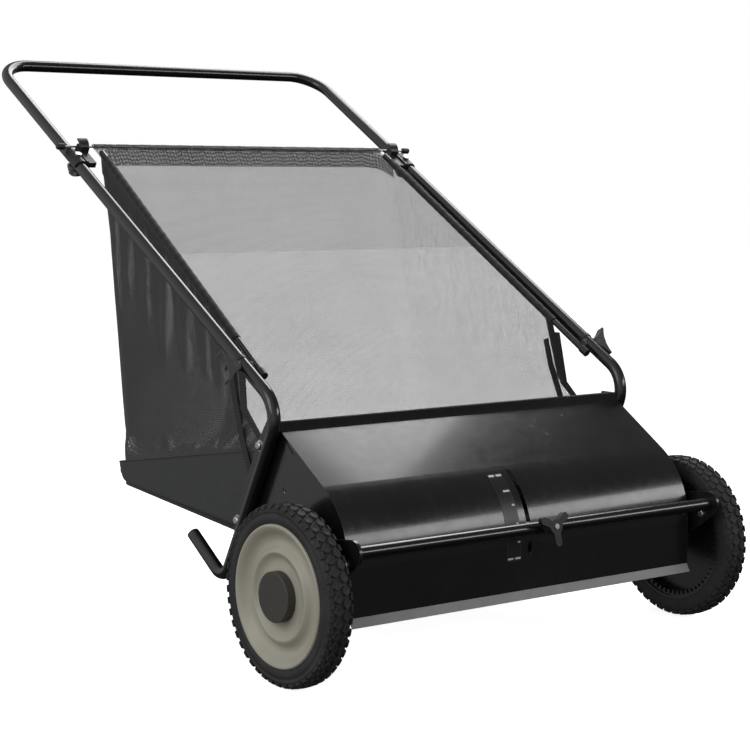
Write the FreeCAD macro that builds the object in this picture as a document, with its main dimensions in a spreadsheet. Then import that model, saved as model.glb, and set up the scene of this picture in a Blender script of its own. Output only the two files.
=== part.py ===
import FreeCAD, Part
import math
import os

import Sketcher
from FreeCAD import Placement, Rotation, Vector

# Push lawn sweeper with a rotary brush, two drive wheels, a height adjuster and a mesh hopper.
# Row frame: X across the machine, -Y the front, +Z up, floor at Z = 0, origin under the centre.
# Every profile below is drawn from the wheel axle: y runs rearwards from it, z up from the floor.

doc = FreeCAD.newDocument("lawn_sweeper")

DRIVING_SIZES = [
    ("wheel_radius", 127.0, "rolling radius of a ten inch wheel"),
    ("tyre_seat", 99.0, "radius where the tyre sits on its rim"),
    ("tyre_inner_x", 360.4, "inner side wall of a tyre"),
    ("tyre_outer_x", 399.4, "outer side wall of a tyre"),
    ("tyre_shoulder", 12.0, "shoulder radius of a tyre"),
    ("axle_row_y", -402.95, "place of the axle along the row's Y"),
    ("gear_module", 3.0, "module of ring gear and pinion"),
    ("ring_teeth", 60, "teeth of the ring gear in each wheel"),
    ("pinion_teeth", 12, "teeth of each brush pinion"),
    ("mesh_angle", 31.79, "slope of the line from axle to brush shaft"),
    ("nose_radius", 128.0, "outside radius of the cover's round nose"),
    ("cover_slope", 33.5, "slope of the cover's flat top"),
    ("cover_rear", 91.5, "rear end of the slope"),
    ("flange_rise", 11.5, "upstand behind the slope"),
    ("flange_depth", 12.0, "fold behind the upstand"),
    ("panel_bottom", 98.0, "lower edge of the front panel"),
    ("sheet", 1.5, "housing sheet thickness"),
    ("cover_half", 326.0, "half width of the cover"),
    ("tube_radius", 9.5, "outside radius of frame tube"),
    ("tube_bore", 8.3, "inside radius of frame tube"),
    ("leg_x", 337.0, "distance of a leg tube from the middle"),
    ("handle_top_x", 332.6, "same at the top of the handle"),
    ("handle_slope", 31.24, "slope of handle and neck"),
    ("handle_length", 874.2, "collar to the handle's top bar"),
    ("handle_corner", 60.0, "bend radius of the handle"),
    ("collar_back", 176.0, "y of the collar between leg and handle"),
    ("collar_height", 430.0, "z of the collar between leg and handle"),
    ("neck_length", 111.7, "collar to the leg's upper corner"),
    ("neck_turn", 87.2, "turn at the upper corner"),
    ("neck_bend", 48.0, "bend radius at the upper corner"),
    ("leg_length", 300.1, "upper corner to lower corner"),
    ("foot_turn", 95.8, "turn at the lower corner"),
    ("foot_bend", 24.0, "bend radius at the lower corner"),
    ("foot_length", 101.8, "lower corner to the tip of the foot"),
    ("bar_swing", 159.9, "brush shaft to adjuster bar"),
    ("bar_angle", 169.9, "direction of the bar from the shaft"),
    ("bar_half", 340.0, "half length of the adjuster bar"),
    ("arm_thickness", 4.5, "adjuster arm plate"),
    ("boss_radius", 16.0, "bearing boss that carries an arm"),
    ("running_gap", 0.05, "radial clearance of a running fit"),
    ("shaft_radius", 8.0, "brush shaft and stub axle"),
    ("brush_radius", 115.0, "reach of the bristles"),
    ("bristle_half", 310.0, "half length of a bristle row"),
    ("rod_radius", 4.0, "tie rods between the side plates"),
    ("slot_width", 8.0, "slot for the clamp bolt"),
    ("slot_bottom", 151.5, "lower end of the slot"),
    ("slot_top", 268.0, "upper end of the slot"),
    ("clamp_bolt", 3.9, "radius of the adjuster's clamp bolt"),
    ("joint_bolt", 4.0, "radius of the bolt through a tube joint"),
    ("clip_bolt", 3.0, "radius of the bolt through a rod clip"),
    ("top_rod", 1.75, "radius of the hopper's top rod"),
    ("top_rod_back", 667.0, "y of the hopper's top rod"),
    ("top_rod_lift", 11.5, "top rod above the handle tube's axis"),
    ("top_rod_half", 358.0, "half length of the top rod"),
    ("side_rod", 5.0, "radius of the rods in the hopper's side hems"),
    ("hopper_half", 324.0, "half width of the hopper at its floor"),
    ("hopper_top_half", 294.0, "half width of the hopper at its top"),
    ("hopper_wall", 2.5, "wall of the hopper's cloth solids"),
    ("wire_radius", 3.0, "hopper floor frame wire"),
]

sheet = doc.addObject("Spreadsheet::Sheet", "Sizes")
for row, (alias, value, meaning) in enumerate(DRIVING_SIZES, start=1):
    sheet.set(f"A{row}", meaning)
    sheet.set(f"B{row}", str(value))
    sheet.setAlias(f"B{row}", alias)
doc.recompute()


def size(alias):
    return float(sheet.get(alias))


# ---------------------------------------------------------------- worked-out places

def polar(centre, radius, degrees):
    turn = math.radians(degrees)
    return (centre[0] + radius * math.cos(turn), centre[1] + radius * math.sin(turn))


AXLE = (0.0, size("wheel_radius"))
CENTRE_DISTANCE = size("gear_module") * (size("ring_teeth") - size("pinion_teeth")) / 2
BRUSH = polar(AXLE, CENTRE_DISTANCE, size("mesh_angle"))
BAR = polar(BRUSH, size("bar_swing"), size("bar_angle"))
PLATE_OUTER = size("cover_half") + size("sheet")
ARM_INNER = size("bar_half")
ARM_OUTER = ARM_INNER + size("arm_thickness")
COLLAR = (size("collar_back"), size("collar_height"))
SLOPE = math.radians(size("cover_slope"))
NOSE_TOP_ANGLE = 90 + size("cover_slope")
SLOPE_START = polar(BRUSH, size("nose_radius"), NOSE_TOP_ANGLE)
SLOPE_END_Z = SLOPE_START[1] + (size("cover_rear") - SLOPE_START[0]) * math.tan(SLOPE)
FLANGE_Z = SLOPE_END_Z + size("flange_rise")
FRONT_Y = BRUSH[0] - size("nose_radius")
TIE_RODS = {"upper_tie_rod": (141.0, 312.0), "lower_tie_rod": (199.0, 197.0)}
HANDLE_TURN = Rotation(Vector(1, 0, 0), size("handle_slope"))
CLAMP_ALONG = -11.0
CLIP_ALONG = 553.0


def handle_x(along):
    """Distance of the handle tube from the middle plane, measured along the tube."""
    return size("leg_x") - (size("leg_x") - size("handle_top_x")) * along / size("handle_length")


def row_place(y=0.0, z=0.0, turn=Rotation()):
    return Placement(Vector(0, size("axle_row_y") + y, z), turn)


def handle_place():
    return row_place(COLLAR[0], COLLAR[1], HANDLE_TURN)


def on_handle(along, above):
    """Point (y, z) at a distance along the handle tube and square above its axis."""
    turn = math.radians(size("handle_slope"))
    y = COLLAR[0] + along * math.cos(turn) - above * math.sin(turn)
    z = COLLAR[1] + along * math.sin(turn) + above * math.cos(turn)
    return (y, z)


def rod_along():
    turn = math.radians(size("handle_slope"))
    reach = size("top_rod_back") - COLLAR[0] + size("top_rod_lift") * math.sin(turn)
    return reach / math.cos(turn)


TOP_ROD = on_handle(rod_along(), size("top_rod_lift"))
CLAMP_POINT = on_handle(CLAMP_ALONG, 0.0)

parts = []


def keep(obj, label):
    obj.Label = label
    parts.append(obj)
    return obj


def mirrored(source, label):
    """The right-hand piece is the left-hand one reflected in the machine's middle plane."""
    twin = doc.addObject("Part::Mirroring", label)
    twin.Source = source
    twin.Normal = (1, 0, 0)
    return keep(twin, label)


# ---------------------------------------------------------------- drawing helpers

def origin_feature(body, role):
    return [f for f in body.Origin.OriginFeatures if f.Role == role][0]


def new_body(label, place):
    body = doc.addObject("PartDesign::Body", label)
    body.Placement = place
    return keep(body, label)


def new_sketch(body, role, name, offset=0.0, offset_expression=None):
    sketch = body.newObject("Sketcher::SketchObject", name)
    sketch.AttachmentSupport = [(origin_feature(body, role), "")]
    sketch.MapMode = "FlatFace"
    sketch.AttachmentOffset = Placement(Vector(0, 0, offset), Rotation())
    if offset_expression:
        sketch.setExpression(".AttachmentOffset.Base.z", offset_expression)
    return sketch


def name_constraint(sketch, index, name, expression):
    sketch.renameConstraint(index, name)
    sketch.setExpression(f"Constraints.{name}", expression)


def draw_circle(sketch, centre, radius, name, expression=None):
    circle = Part.Circle(Vector(centre[0], centre[1], 0), Vector(0, 0, 1), radius)
    index = sketch.addGeometry(circle, False)
    constraint = sketch.addConstraint(Sketcher.Constraint("Radius", index, radius))
    if expression:
        name_constraint(sketch, constraint, name, expression)


def line(start, end):
    return ("line", start, end)


def arc(centre, radius, from_deg, to_deg, alias=None):
    return ("arc", centre, radius, from_deg, to_deg, alias)


def draw_chain(sketch, items, closed=True):
    """Draws lines and arcs end to end. An arc may run either way round its centre."""
    ends = []
    for number, item in enumerate(items):
        if item[0] == "line":
            edge = Part.LineSegment(Vector(*item[1], 0), Vector(*item[2], 0))
            index = sketch.addGeometry(edge, False)
            ends.append((index, 1, 2))
            continue
        _, centre, radius, start, stop, alias = item
        circle = Part.Circle(Vector(*centre, 0), Vector(0, 0, 1), radius)
        low, high = sorted((math.radians(start), math.radians(stop)))
        index = sketch.addGeometry(Part.ArcOfCircle(circle, low, high), False)
        ends.append((index, 1, 2) if stop > start else (index, 2, 1))
        constraint = sketch.addConstraint(Sketcher.Constraint("Radius", index, radius))
        if alias:
            name_constraint(sketch, constraint, f"arc_{number}", alias)
    pairs = list(zip(ends, ends[1:]))
    if closed:
        pairs.append((ends[-1], ends[0]))
    for before, after in pairs:
        link = Sketcher.Constraint("Coincident", before[0], before[2], after[0], after[1])
        sketch.addConstraint(link)


def closed_lines(points):
    return [line(a, b) for a, b in zip(points, points[1:] + points[:1])]


def pad(body, sketch, name, length, expression=None):
    feature = body.newObject("PartDesign::Pad", name)
    feature.Profile = sketch
    feature.Length = length
    if expression:
        feature.setExpression("Length", expression)
    doc.recompute()
    return feature


def pocket(body, sketch, name, length, reverse=False, both_ways=False):
    """Cuts a pocket and makes sure that it really took material away."""
    before = body.Shape.Volume
    feature = body.newObject("PartDesign::Pocket", name)
    feature.Profile = sketch
    feature.Length = length
    feature.Reversed = reverse
    if both_ways:
        feature.Midplane = True
    doc.recompute()
    if body.Shape.Volume > before - 0.5:
        raise ValueError(f"{name} cuts nothing from {body.Label}")
    return feature


def revolve(body, sketch, name):
    feature = body.newObject("PartDesign::Revolution", name)
    feature.Profile = sketch
    feature.ReferenceAxis = (origin_feature(body, "X_Axis"), [""])
    feature.Angle = 360
    doc.recompute()
    return feature


def turned_body(label, place, section):
    """A body of revolution about its own X axis, from a closed section of (x, radius)."""
    body = new_body(label, place)
    sketch = new_sketch(body, "XY_Plane", label + "_section")
    draw_chain(sketch, closed_lines(section))
    revolve(body, sketch, label + "_turning")
    return body


def group(label, solids, place):
    """One node from one solid or from several identical ones, kept where they were drawn."""
    feature = doc.addObject("Part::Feature", label)
    feature.Shape = Part.makeCompound(solids)
    feature.Placement = place
    return keep(feature, label)


def rod_x(radius, x0, x1, centre=(0.0, 0.0)):
    start = Vector(min(x0, x1), centre[0], centre[1])
    return Part.makeCylinder(radius, abs(x1 - x0), start, Vector(1, 0, 0))


def ring_x(outer, inner, x0, x1, centre=(0.0, 0.0)):
    return rod_x(outer, x0, x1, centre).cut(rod_x(inner, x0, x1, centre))


def round_head(radius, height, x0, outward, centre):
    """Domed screw head that stands on x0 and points along +X or -X."""
    head = Part.makeCylinder(radius, height, Vector(x0, *centre), Vector(outward, 0, 0))
    crown = [e for e in head.Edges if len(e.Vertexes) == 1]
    crown = [e for e in crown if abs(e.BoundBox.Center.x - x0) > height / 2 and e.BoundBox.XLength < 0.1]
    return head.makeFillet(height * 0.6, crown)


def side_prism(points, x0, x1):
    """Flat piece with a (y, z) outline between two places along X."""
    corners = [Vector(x0, y, z) for y, z in points]
    face = Part.Face(Part.makePolygon(corners + corners[:1]))
    return face.extrude(Vector(x1 - x0, 0, 0))


def bent_path(start, heading, runs):
    """Straight runs joined by tangent arcs. runs holds (length, turn, bend radius, alias)."""
    items = []
    point = start
    spent = 0.0
    for length, turn, bend, alias in runs:
        if not bend:
            items.append(line(polar(point, spent, heading), polar(point, length, heading)))
            return items
        setback = bend * math.tan(math.radians(abs(turn)) / 2)
        near = polar(point, spent, heading)
        far = polar(point, length - setback, heading)
        items.append(line(near, far))
        side = 90 if turn > 0 else -90
        centre = polar(far, bend, heading + side)
        items.append(arc(centre, bend, heading - side, heading - side + turn, alias))
        point = polar(point, length, heading)
        heading += turn
        spent = setback
    return items


# ---------------------------------------------------------------- brush housing

def cover_section():
    """Closed section of the bent cover sheet, outside line first, then inside line."""
    t = size("sheet")
    nose = size("nose_radius")
    inner_start = polar(BRUSH, nose - t, NOSE_TOP_ANGLE)
    rear = size("cover_rear")
    inner_end_z = inner_start[1] + (rear + t - inner_start[0]) * math.tan(SLOPE)
    fold_end = rear + size("flange_depth")
    bottom = size("panel_bottom")
    return [
        line((fold_end, FLANGE_Z), (rear, FLANGE_Z)),
        line((rear, FLANGE_Z), (rear, SLOPE_END_Z)),
        line((rear, SLOPE_END_Z), SLOPE_START),
        arc(BRUSH, nose, NOSE_TOP_ANGLE, 180, "Sizes.nose_radius"),
        line((FRONT_Y, BRUSH[1]), (FRONT_Y, bottom)),
        line((FRONT_Y, bottom), (FRONT_Y + t, bottom)),
        line((FRONT_Y + t, bottom), (FRONT_Y + t, BRUSH[1])),
        arc(BRUSH, nose - t, 180, NOSE_TOP_ANGLE, "Sizes.nose_radius - Sizes.sheet"),
        line(inner_start, (rear + t, inner_end_z)),
        line((rear + t, inner_end_z), (rear + t, FLANGE_Z - t)),
        line((rear + t, FLANGE_Z - t), (fold_end, FLANGE_Z - t)),
        line((fold_end, FLANGE_Z - t), (fold_end, FLANGE_Z)),
    ]


def make_cover():
    body = new_body("housing_cover", row_place())
    section = new_sketch(body, "YZ_Plane", "cover_section", -size("cover_half"), "-Sizes.cover_half")
    draw_chain(section, cover_section())
    pad(body, section, "cover_sheet", 2 * size("cover_half"), "2 * Sizes.cover_half")
    slot = new_sketch(body, "XZ_Plane", "slot_outline")
    half = size("slot_width") / 2
    low = size("slot_bottom") + half
    high = size("slot_top") - half
    draw_chain(slot, [
        line((half, low), (half, high)),
        arc((0, high), half, 0, 180, "Sizes.slot_width / 2"),
        line((-half, high), (-half, low)),
        arc((0, low), half, 180, 360, "Sizes.slot_width / 2"),
    ])
    pocket(body, slot, "clamp_slot", 200, reverse=True)


def plate_outline():
    rear = size("cover_rear")
    return [
        line((FRONT_Y, 96), (FRONT_Y, BRUSH[1])),
        arc(BRUSH, size("nose_radius"), 180, NOSE_TOP_ANGLE, "Sizes.nose_radius"),
        line(SLOPE_START, (rear, SLOPE_END_Z)),
        line((rear, SLOPE_END_Z), (rear, FLANGE_Z)),
        line((rear, FLANGE_Z), (124, FLANGE_Z)),
        line((124, FLANGE_Z), (147, 318)),
        line((147, 318), (206, 199)),
        line((206, 199), (210, 180)),
        line((210, 180), (188, 158)),
        line((188, 158), (110, 108)),
        line((110, 108), (0, 84)),
        line((0, 84), (-52, 84)),
        line((-52, 84), (FRONT_Y, 96)),
    ]


def make_side_plates():
    body = new_body("side_plate_left", row_place())
    outline = new_sketch(body, "YZ_Plane", "plate_outline", -PLATE_OUTER, "-(Sizes.cover_half + Sizes.sheet)")
    draw_chain(outline, plate_outline())
    pad(body, outline, "plate_sheet", size("sheet"), "Sizes.sheet")
    holes = new_sketch(body, "YZ_Plane", "plate_holes", -PLATE_OUTER)
    draw_circle(holes, BRUSH, 18.05, "bearing_seat")
    draw_circle(holes, (82, 256), 4.0, "spare_hole")
    for name, centre in TIE_RODS.items():
        draw_circle(holes, centre, size("rod_radius") + 0.05, name, "Sizes.rod_radius + 0.05")
    pocket(body, holes, "plate_drilling", 5, reverse=True)
    gusset = new_sketch(body, "YZ_Plane", "gusset_outline", -PLATE_OUTER - 1.2)
    draw_chain(gusset, closed_lines([(60, 308), (77, 323), (77, 308)]))
    pad(body, gusset, "corner_gusset", 1.3)
    mirrored(body, "side_plate_right")


def make_front_lip():
    body = new_body("front_lip", row_place())
    section = new_sketch(body, "YZ_Plane", "lip_section", -size("cover_half"), "-Sizes.cover_half")
    inner = FRONT_Y + size("sheet")
    bottom = size("panel_bottom")
    draw_chain(section, closed_lines([
        (inner, bottom + 14),
        (inner, bottom - 0.1),
        (FRONT_Y, bottom - 0.1),
        (FRONT_Y - 7.0, bottom - 12.0),
        (FRONT_Y - 5.7, bottom - 12.9),
        (inner + 1.5, bottom + 0.6),
        (inner + 1.5, bottom + 14),
    ]))
    pad(body, section, "lip_strip", 2 * size("cover_half"), "2 * Sizes.cover_half")


def make_height_scale():
    """Thin strip with tick marks that lies on the nose beside the slot."""
    body = new_body("height_scale", row_place())
    section = new_sketch(body, "YZ_Plane", "scale_section", -44.0)
    skin = size("nose_radius") + 0.02
    face = skin + 0.4
    top = 130.0
    foot = 143.0
    draw_chain(section, [
        arc(BRUSH, face, top, 180),
        line((BRUSH[0] - face, BRUSH[1]), (BRUSH[0] - face, foot)),
        line((BRUSH[0] - face, foot), (BRUSH[0] - skin, foot)),
        line((BRUSH[0] - skin, foot), (BRUSH[0] - skin, BRUSH[1])),
        arc(BRUSH, skin, 180, top),
        line(polar(BRUSH, skin, top), polar(BRUSH, face, top)),
    ])
    pad(body, section, "scale_strip", 27.0)


def make_tie_rods():
    length = 2 * PLATE_OUTER
    for name, (y, z) in TIE_RODS.items():
        rod = doc.addObject("Part::Cylinder", name)
        rod.setExpression("Radius", "Sizes.rod_radius")
        rod.setExpression("Height", "2 * (Sizes.cover_half + Sizes.sheet)")
        rod.Placement = Placement(
            Vector(-length / 2, size("axle_row_y") + y, z), Rotation(Vector(0, 1, 0), 90))
        keep(rod, name)
    heads = []
    for side in (-1, 1):
        for centre in TIE_RODS.values():
            washer = rod_x(8.5, side * PLATE_OUTER, side * (PLATE_OUTER + 1.2), centre)
            head = round_head(6.6, 5.0, side * (PLATE_OUTER + 1.2), side, centre)
            heads += [washer, head]
    group("tie_rod_bolts", heads, row_place())


def make_bearings():
    """Flanged nylon bearing: spigot in the plate, bore for the shaft, boss for the arm."""
    bore = size("shaft_radius") + size("running_gap")
    boss = size("boss_radius")
    boss_end = -(ARM_OUTER + 1.5)
    body = turned_body("bearing_left", row_place(*BRUSH), [
        (-318, bore), (-318, 18), (-PLATE_OUTER, 18), (-PLATE_OUTER, 24),
        (-330.5, 24), (-330.5, boss), (boss_end, boss), (boss_end, bore),
    ])
    mirrored(body, "bearing_right")
    rings = []
    for side in (-1, 1):
        rings.append(ring_x(20, boss, side * (ARM_OUTER + 0.3), side * (ARM_OUTER + 1.5), BRUSH))
    group("arm_retaining_rings", rings, row_place())


# ---------------------------------------------------------------- legs, handle and their joints

def make_legs():
    runs = [
        (size("neck_length"), size("neck_turn"), size("neck_bend"), "Sizes.neck_bend"),
        (size("leg_length"), size("foot_turn"), size("foot_bend"), "Sizes.foot_bend"),
        (size("foot_length"), 0, 0, None),
    ]
    # the path lies in the machine's side plane, so the body is turned to bring XY into YZ
    flat_to_side = Rotation(Vector(0, 1, 0), Vector(0, 0, 1), Vector(1, 0, 0), "XYZ")
    place = row_place(COLLAR[0], COLLAR[1], HANDLE_TURN.multiply(flat_to_side))
    place.Base.x = -size("leg_x")
    body = new_body("leg_tube_left", place)
    path = new_sketch(body, "XY_Plane", "leg_path")
    draw_chain(path, bent_path((-4.0, 0.0), 180, runs), closed=False)
    ring = new_sketch(body, "YZ_Plane", "leg_ring", -4.0)
    draw_circle(ring, (0, 0), size("tube_radius"), "outer", "Sizes.tube_radius")
    draw_circle(ring, (0, 0), size("tube_bore"), "bore", "Sizes.tube_bore")
    doc.recompute()
    pipe = body.newObject("PartDesign::AdditivePipe", "leg_pipe")
    pipe.Profile = ring
    pipe.Spine = path
    doc.recompute()
    hole = new_sketch(body, "XY_Plane", "leg_bolt_hole")
    draw_circle(hole, (CLAMP_ALONG, 0), size("joint_bolt") + 0.1, "bolt", "Sizes.joint_bolt + 0.1")
    pocket(body, hole, "leg_drilling", 60, both_ways=True)
    mirrored(body, "leg_tube_right")
    tip = on_foot_tip()
    plugs = []
    for side in (-1, 1):
        centre = Vector(side * size("leg_x"), *tip[0])
        along = Vector(0, *tip[1])
        cap = Part.makeCylinder(size("tube_radius"), 1.5, centre, along)
        stem = Part.makeCylinder(size("tube_bore") - 0.1, 12, centre - along * 12, along)
        plugs.append(cap.fuse(stem).removeSplitter())
    group("foot_plugs", plugs, row_place())


def on_foot_tip():
    """Place and direction (y, z) of the open end of a foot."""
    heading = 180 + size("handle_slope")
    point = polar(COLLAR, 4.0, heading)
    point = polar(point, size("neck_length"), heading)
    heading += size("neck_turn")
    point = polar(point, size("leg_length"), heading)
    heading += size("foot_turn")
    return polar(point, size("foot_length"), heading), polar((0, 0), 1, heading)


def make_handle():
    top = size("handle_length")
    bend = size("handle_corner")
    low_x = handle_x(4.0)
    top_x = size("handle_top_x")
    lean = math.degrees(math.atan2(low_x - top_x, top - 4.0))
    runs = [
        (math.hypot(low_x - top_x, top - 4.0), -(90 - lean), bend, "Sizes.handle_corner"),
        (2 * top_x, -(90 - lean), bend, "Sizes.handle_corner"),
        (math.hypot(low_x - top_x, top - 4.0), 0, 0, None),
    ]
    body = new_body("handle_tube", handle_place())
    path = new_sketch(body, "XY_Plane", "handle_path")
    draw_chain(path, bent_path((-low_x, 4.0), 90 - lean, runs), closed=False)
    ring = new_sketch(body, "XZ_Plane", "handle_ring")
    ring.AttachmentOffset = Placement(Vector(-low_x, 0, -4.0), Rotation(Vector(0, 1, 0), -lean))
    draw_circle(ring, (0, 0), size("tube_radius"), "outer", "Sizes.tube_radius")
    draw_circle(ring, (0, 0), size("tube_bore"), "bore", "Sizes.tube_bore")
    doc.recompute()
    pipe = body.newObject("PartDesign::AdditivePipe", "handle_pipe")
    pipe.Profile = ring
    pipe.Spine = path
    doc.recompute()
    holes = new_sketch(body, "XY_Plane", "clip_bolt_holes")
    for number, side in enumerate((-1, 1)):
        centre = (side * handle_x(CLIP_ALONG), CLIP_ALONG)
        draw_circle(holes, centre, size("clip_bolt") + 0.1, f"bolt_{number}", "Sizes.clip_bolt + 0.1")
    pocket(body, holes, "handle_drilling", 60, both_ways=True)


def upright(radius, x, along, low, high):
    """Cylinder square to the handle tube, in the handle's own frame."""
    return Part.makeCylinder(radius, high - low, Vector(x, along, low), Vector(0, 0, 1))


def make_tube_joints():
    """Plug between leg and handle with a flush collar, and the bolt that crosses leg and plug."""
    sleeves, bolts = [], []
    for side in (-1, 1):
        x = side * size("leg_x")
        plug = Part.makeCylinder(8.2, 45, Vector(x, -45, 0), Vector(0, 1, 0))
        spigot = Part.makeCylinder(8.0, 40, Vector(x, 0, 0), Vector(0, 1, 0))
        collar = Part.makeCylinder(10.4, 6, Vector(x, -3, 0), Vector(0, 1, 0))
        bore = rod_x(size("joint_bolt") + 0.1, x - 12, x + 12, (CLAMP_ALONG, 0))
        sleeves.append(plug.fuse([spigot, collar]).cut(bore).removeSplitter())
        head = round_head(6.5, 3.6, x - side * 9.4, -side, (CLAMP_ALONG, 0))
        shank = rod_x(size("joint_bolt"), x - side * 10, x + side * 35, (CLAMP_ALONG, 0))
        bolts.append(shank.fuse(head).removeSplitter())
    group("tube_joint_sleeves", sleeves, handle_place())
    group("tube_joint_bolts", bolts, handle_place())


def knob_blade(outline, thickness):
    """Flat blade with a (y, z) outline, centred on the local YZ plane."""
    corners = [Vector(-thickness / 2, y, z) for y, z in outline]
    face = Part.Face(Part.makePolygon(corners + corners[:1]))
    return face.extrude(Vector(thickness, 0, 0))


def bored_knob(solids, bore, low, high):
    drill = Part.makeCylinder(bore, high - low + 20, Vector(0, 0, low - 10), Vector(0, 0, 1))
    return solids[0].fuse(solids[1:]).cut(drill).removeSplitter()


def flared_knob(bore, low, high):
    """Wing knob on the local Z axis whose blade flares to a hollow-topped wing."""
    hub = Part.makeCylinder(7.0, 12, Vector(0, 0, low), Vector(0, 0, 1))
    half = [(6, low + 2), (9, low + 9), (14, low + 16), (23.5, high - 2), (21.5, high), (14, high - 3),
            (6, high - 5)]
    blade = half + [(-y, z) for y, z in reversed(half)]
    return bored_knob([hub, knob_blade(blade, 13.0)], bore, low, high)


def make_joint_knobs():
    """Wing knobs on the outer ends of the joint bolts, square to the legs."""
    bore = size("joint_bolt") + size("running_gap")
    span = Vector(0, -22.6, -42)
    for side, name in ((-1, "left"), (1, "right")):
        knob = flared_knob(bore, 9.7, 37.0)
        turn = Rotation(Vector(0, 0, 0), span, Vector(side, 0, 0), "ZYX")
        knob.Placement = Placement(Vector(side * size("leg_x"), *CLAMP_POINT), turn)
        group(f"joint_knob_{name}", [knob], row_place())


def bowed_knob(bore, low, high):
    """Wing knob on the local Z axis: round hub and a bowed bar with its tips bent back."""
    hub = Part.makeCylinder(7.0, high - low - 2, Vector(0, 0, low), Vector(0, 0, 1))
    bar = [(-17, low + 2.5), (-16, low + 7), (-9, high - 2), (0, high), (9, high - 2), (16, low + 7),
           (17, low + 2.5), (13, low + 1.5), (7, low + 5), (-7, low + 5), (-13, low + 1.5)]
    return bored_knob([hub, knob_blade(bar, 8.0)], bore, low, high)


def clip_solid(x):
    """Clip for the hopper's rod: saddle on the tube, cheek inside it and a C-shaped hook."""
    rod = Vector(x, rod_along(), size("top_rod_lift"))
    saddle = Part.makeCylinder(12.5, 38, Vector(x, CLIP_ALONG - 18, 0), Vector(0, 1, 0))
    saddle = saddle.cut(Part.makeBox(30, 60, 30, Vector(x - 15, CLIP_ALONG - 30, -30)))
    inward = -1 if x > 0 else 1
    near = x + inward * 9.7
    far = x + inward * 26.0
    wide = abs(far - near)
    low_x = min(near, far)
    cheek = Part.makeBox(wide, 44, 9, Vector(low_x, CLIP_ALONG - 18, 0))
    brace = Part.makeBox(3.5, 38, 4, Vector(min(x + inward * 8, x + inward * 11.5), CLIP_ALONG - 18, 8))
    spot = (rod.y, rod.z)
    hook = ring_x(15, 11.5, near, far, spot)
    seat = ring_x(7, size("top_rod") + 0.3, near, far, spot)
    mouth = Part.makeBox(30, 60, 60, Vector(low_x - 5, 0, -30))
    mouth.rotate(Vector(0, 0, 0), Vector(1, 0, 0), 13.76)
    mouth.translate(Vector(0, rod.y, rod.z))
    seat = seat.cut(mouth)
    beak = Part.makeBox(30, 60, 60, Vector(low_x - 5, 2, -30))
    beak = beak.fuse(Part.makeBox(30, 60, 60, Vector(low_x - 5, -30, -60)))
    beak.translate(Vector(0, rod.y, rod.z))
    hook = hook.cut(beak)
    web = Part.makeBox(wide, 9, 20, Vector(low_x, rod.y - 15, rod.z - 12))
    web = web.cut(rod_x(size("top_rod") + 0.3, near, far, spot))
    clip = saddle.fuse([cheek, brace, hook, seat, web])
    tube = Part.makeCylinder(size("tube_radius") + 0.05, 200, Vector(x, CLIP_ALONG - 100, 0), Vector(0, 1, 0))
    bolt = upright(size("clip_bolt") + 0.1, x, CLIP_ALONG, -20, 20)
    return clip.cut(tube).cut(bolt).removeSplitter()


def make_rod_clips():
    bolts = []
    for side, name in ((-1, "left"), (1, "right")):
        x = side * handle_x(CLIP_ALONG)
        group(f"rod_clip_{name}", [clip_solid(x)], handle_place())
        bolt = upright(size("clip_bolt"), x, CLIP_ALONG, -25, 13)
        head = upright(5.2, x, CLIP_ALONG, 12.6, 16)
        bolts.append(bolt.fuse(head).removeSplitter())
        knob = bowed_knob(size("clip_bolt") + size("running_gap"), 9.9, 24.0)
        knob.rotate(Vector(0, 0, 0), Vector(0, 1, 0), 180)
        knob.translate(Vector(x, CLIP_ALONG, 0))
        group(f"clip_knob_{name}", [knob], handle_place())
    group("clip_bolts", bolts, handle_place())


# ---------------------------------------------------------------- height adjuster

def hull_items(circles):
    """Outline of circles joined by tangent lines. circles run anticlockwise as (y, z, r)."""
    count = len(circles)
    normals = []
    for k in range(count):
        y0, z0, r0 = circles[k]
        y1, z1, r1 = circles[(k + 1) % count]
        heading = math.degrees(math.atan2(z1 - z0, y1 - y0))
        tilt = math.degrees(math.acos((r0 - r1) / math.hypot(y1 - y0, z1 - z0)))
        normals.append(heading - tilt)
    items = []
    for k in range(count):
        y0, z0, r0 = circles[k]
        y1, z1, r1 = circles[(k + 1) % count]
        arrive, leave = normals[k - 1], normals[k]
        while leave < arrive:
            leave += 360
        items.append(arc((y0, z0), r0, arrive, leave))
        items.append(line(polar((y0, z0), r0, leave), polar((y1, z1), r1, leave)))
    return items


def make_adjuster_arms():
    body = new_body("adjuster_arm_left", row_place())
    outline = new_sketch(body, "YZ_Plane", "arm_outline", -ARM_OUTER, "-(Sizes.bar_half + Sizes.arm_thickness)")
    draw_chain(outline, hull_items([(*BAR, 19.0), (*AXLE, 20.0), (*BRUSH, 28.0)]))
    pad(body, outline, "arm_plate", size("arm_thickness"), "Sizes.arm_thickness")
    holes = new_sketch(body, "YZ_Plane", "arm_holes", -ARM_OUTER)
    draw_circle(holes, BRUSH, size("boss_radius") + 0.05, "pivot", "Sizes.boss_radius + Sizes.running_gap")
    draw_circle(holes, AXLE, size("shaft_radius") + 0.05, "axle", "Sizes.shaft_radius + Sizes.running_gap")
    draw_circle(holes, arm_bolt_place(), 3.0, "bolt")
    pocket(body, holes, "arm_drilling", 10, reverse=True)
    mirrored(body, "adjuster_arm_right")


def arm_bolt_place():
    toward_axle = math.degrees(math.atan2(AXLE[1] - BAR[1], AXLE[0] - BAR[0]))
    return polar(polar(BAR, 20.0, toward_axle), 6.0, toward_axle - 90)


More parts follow.
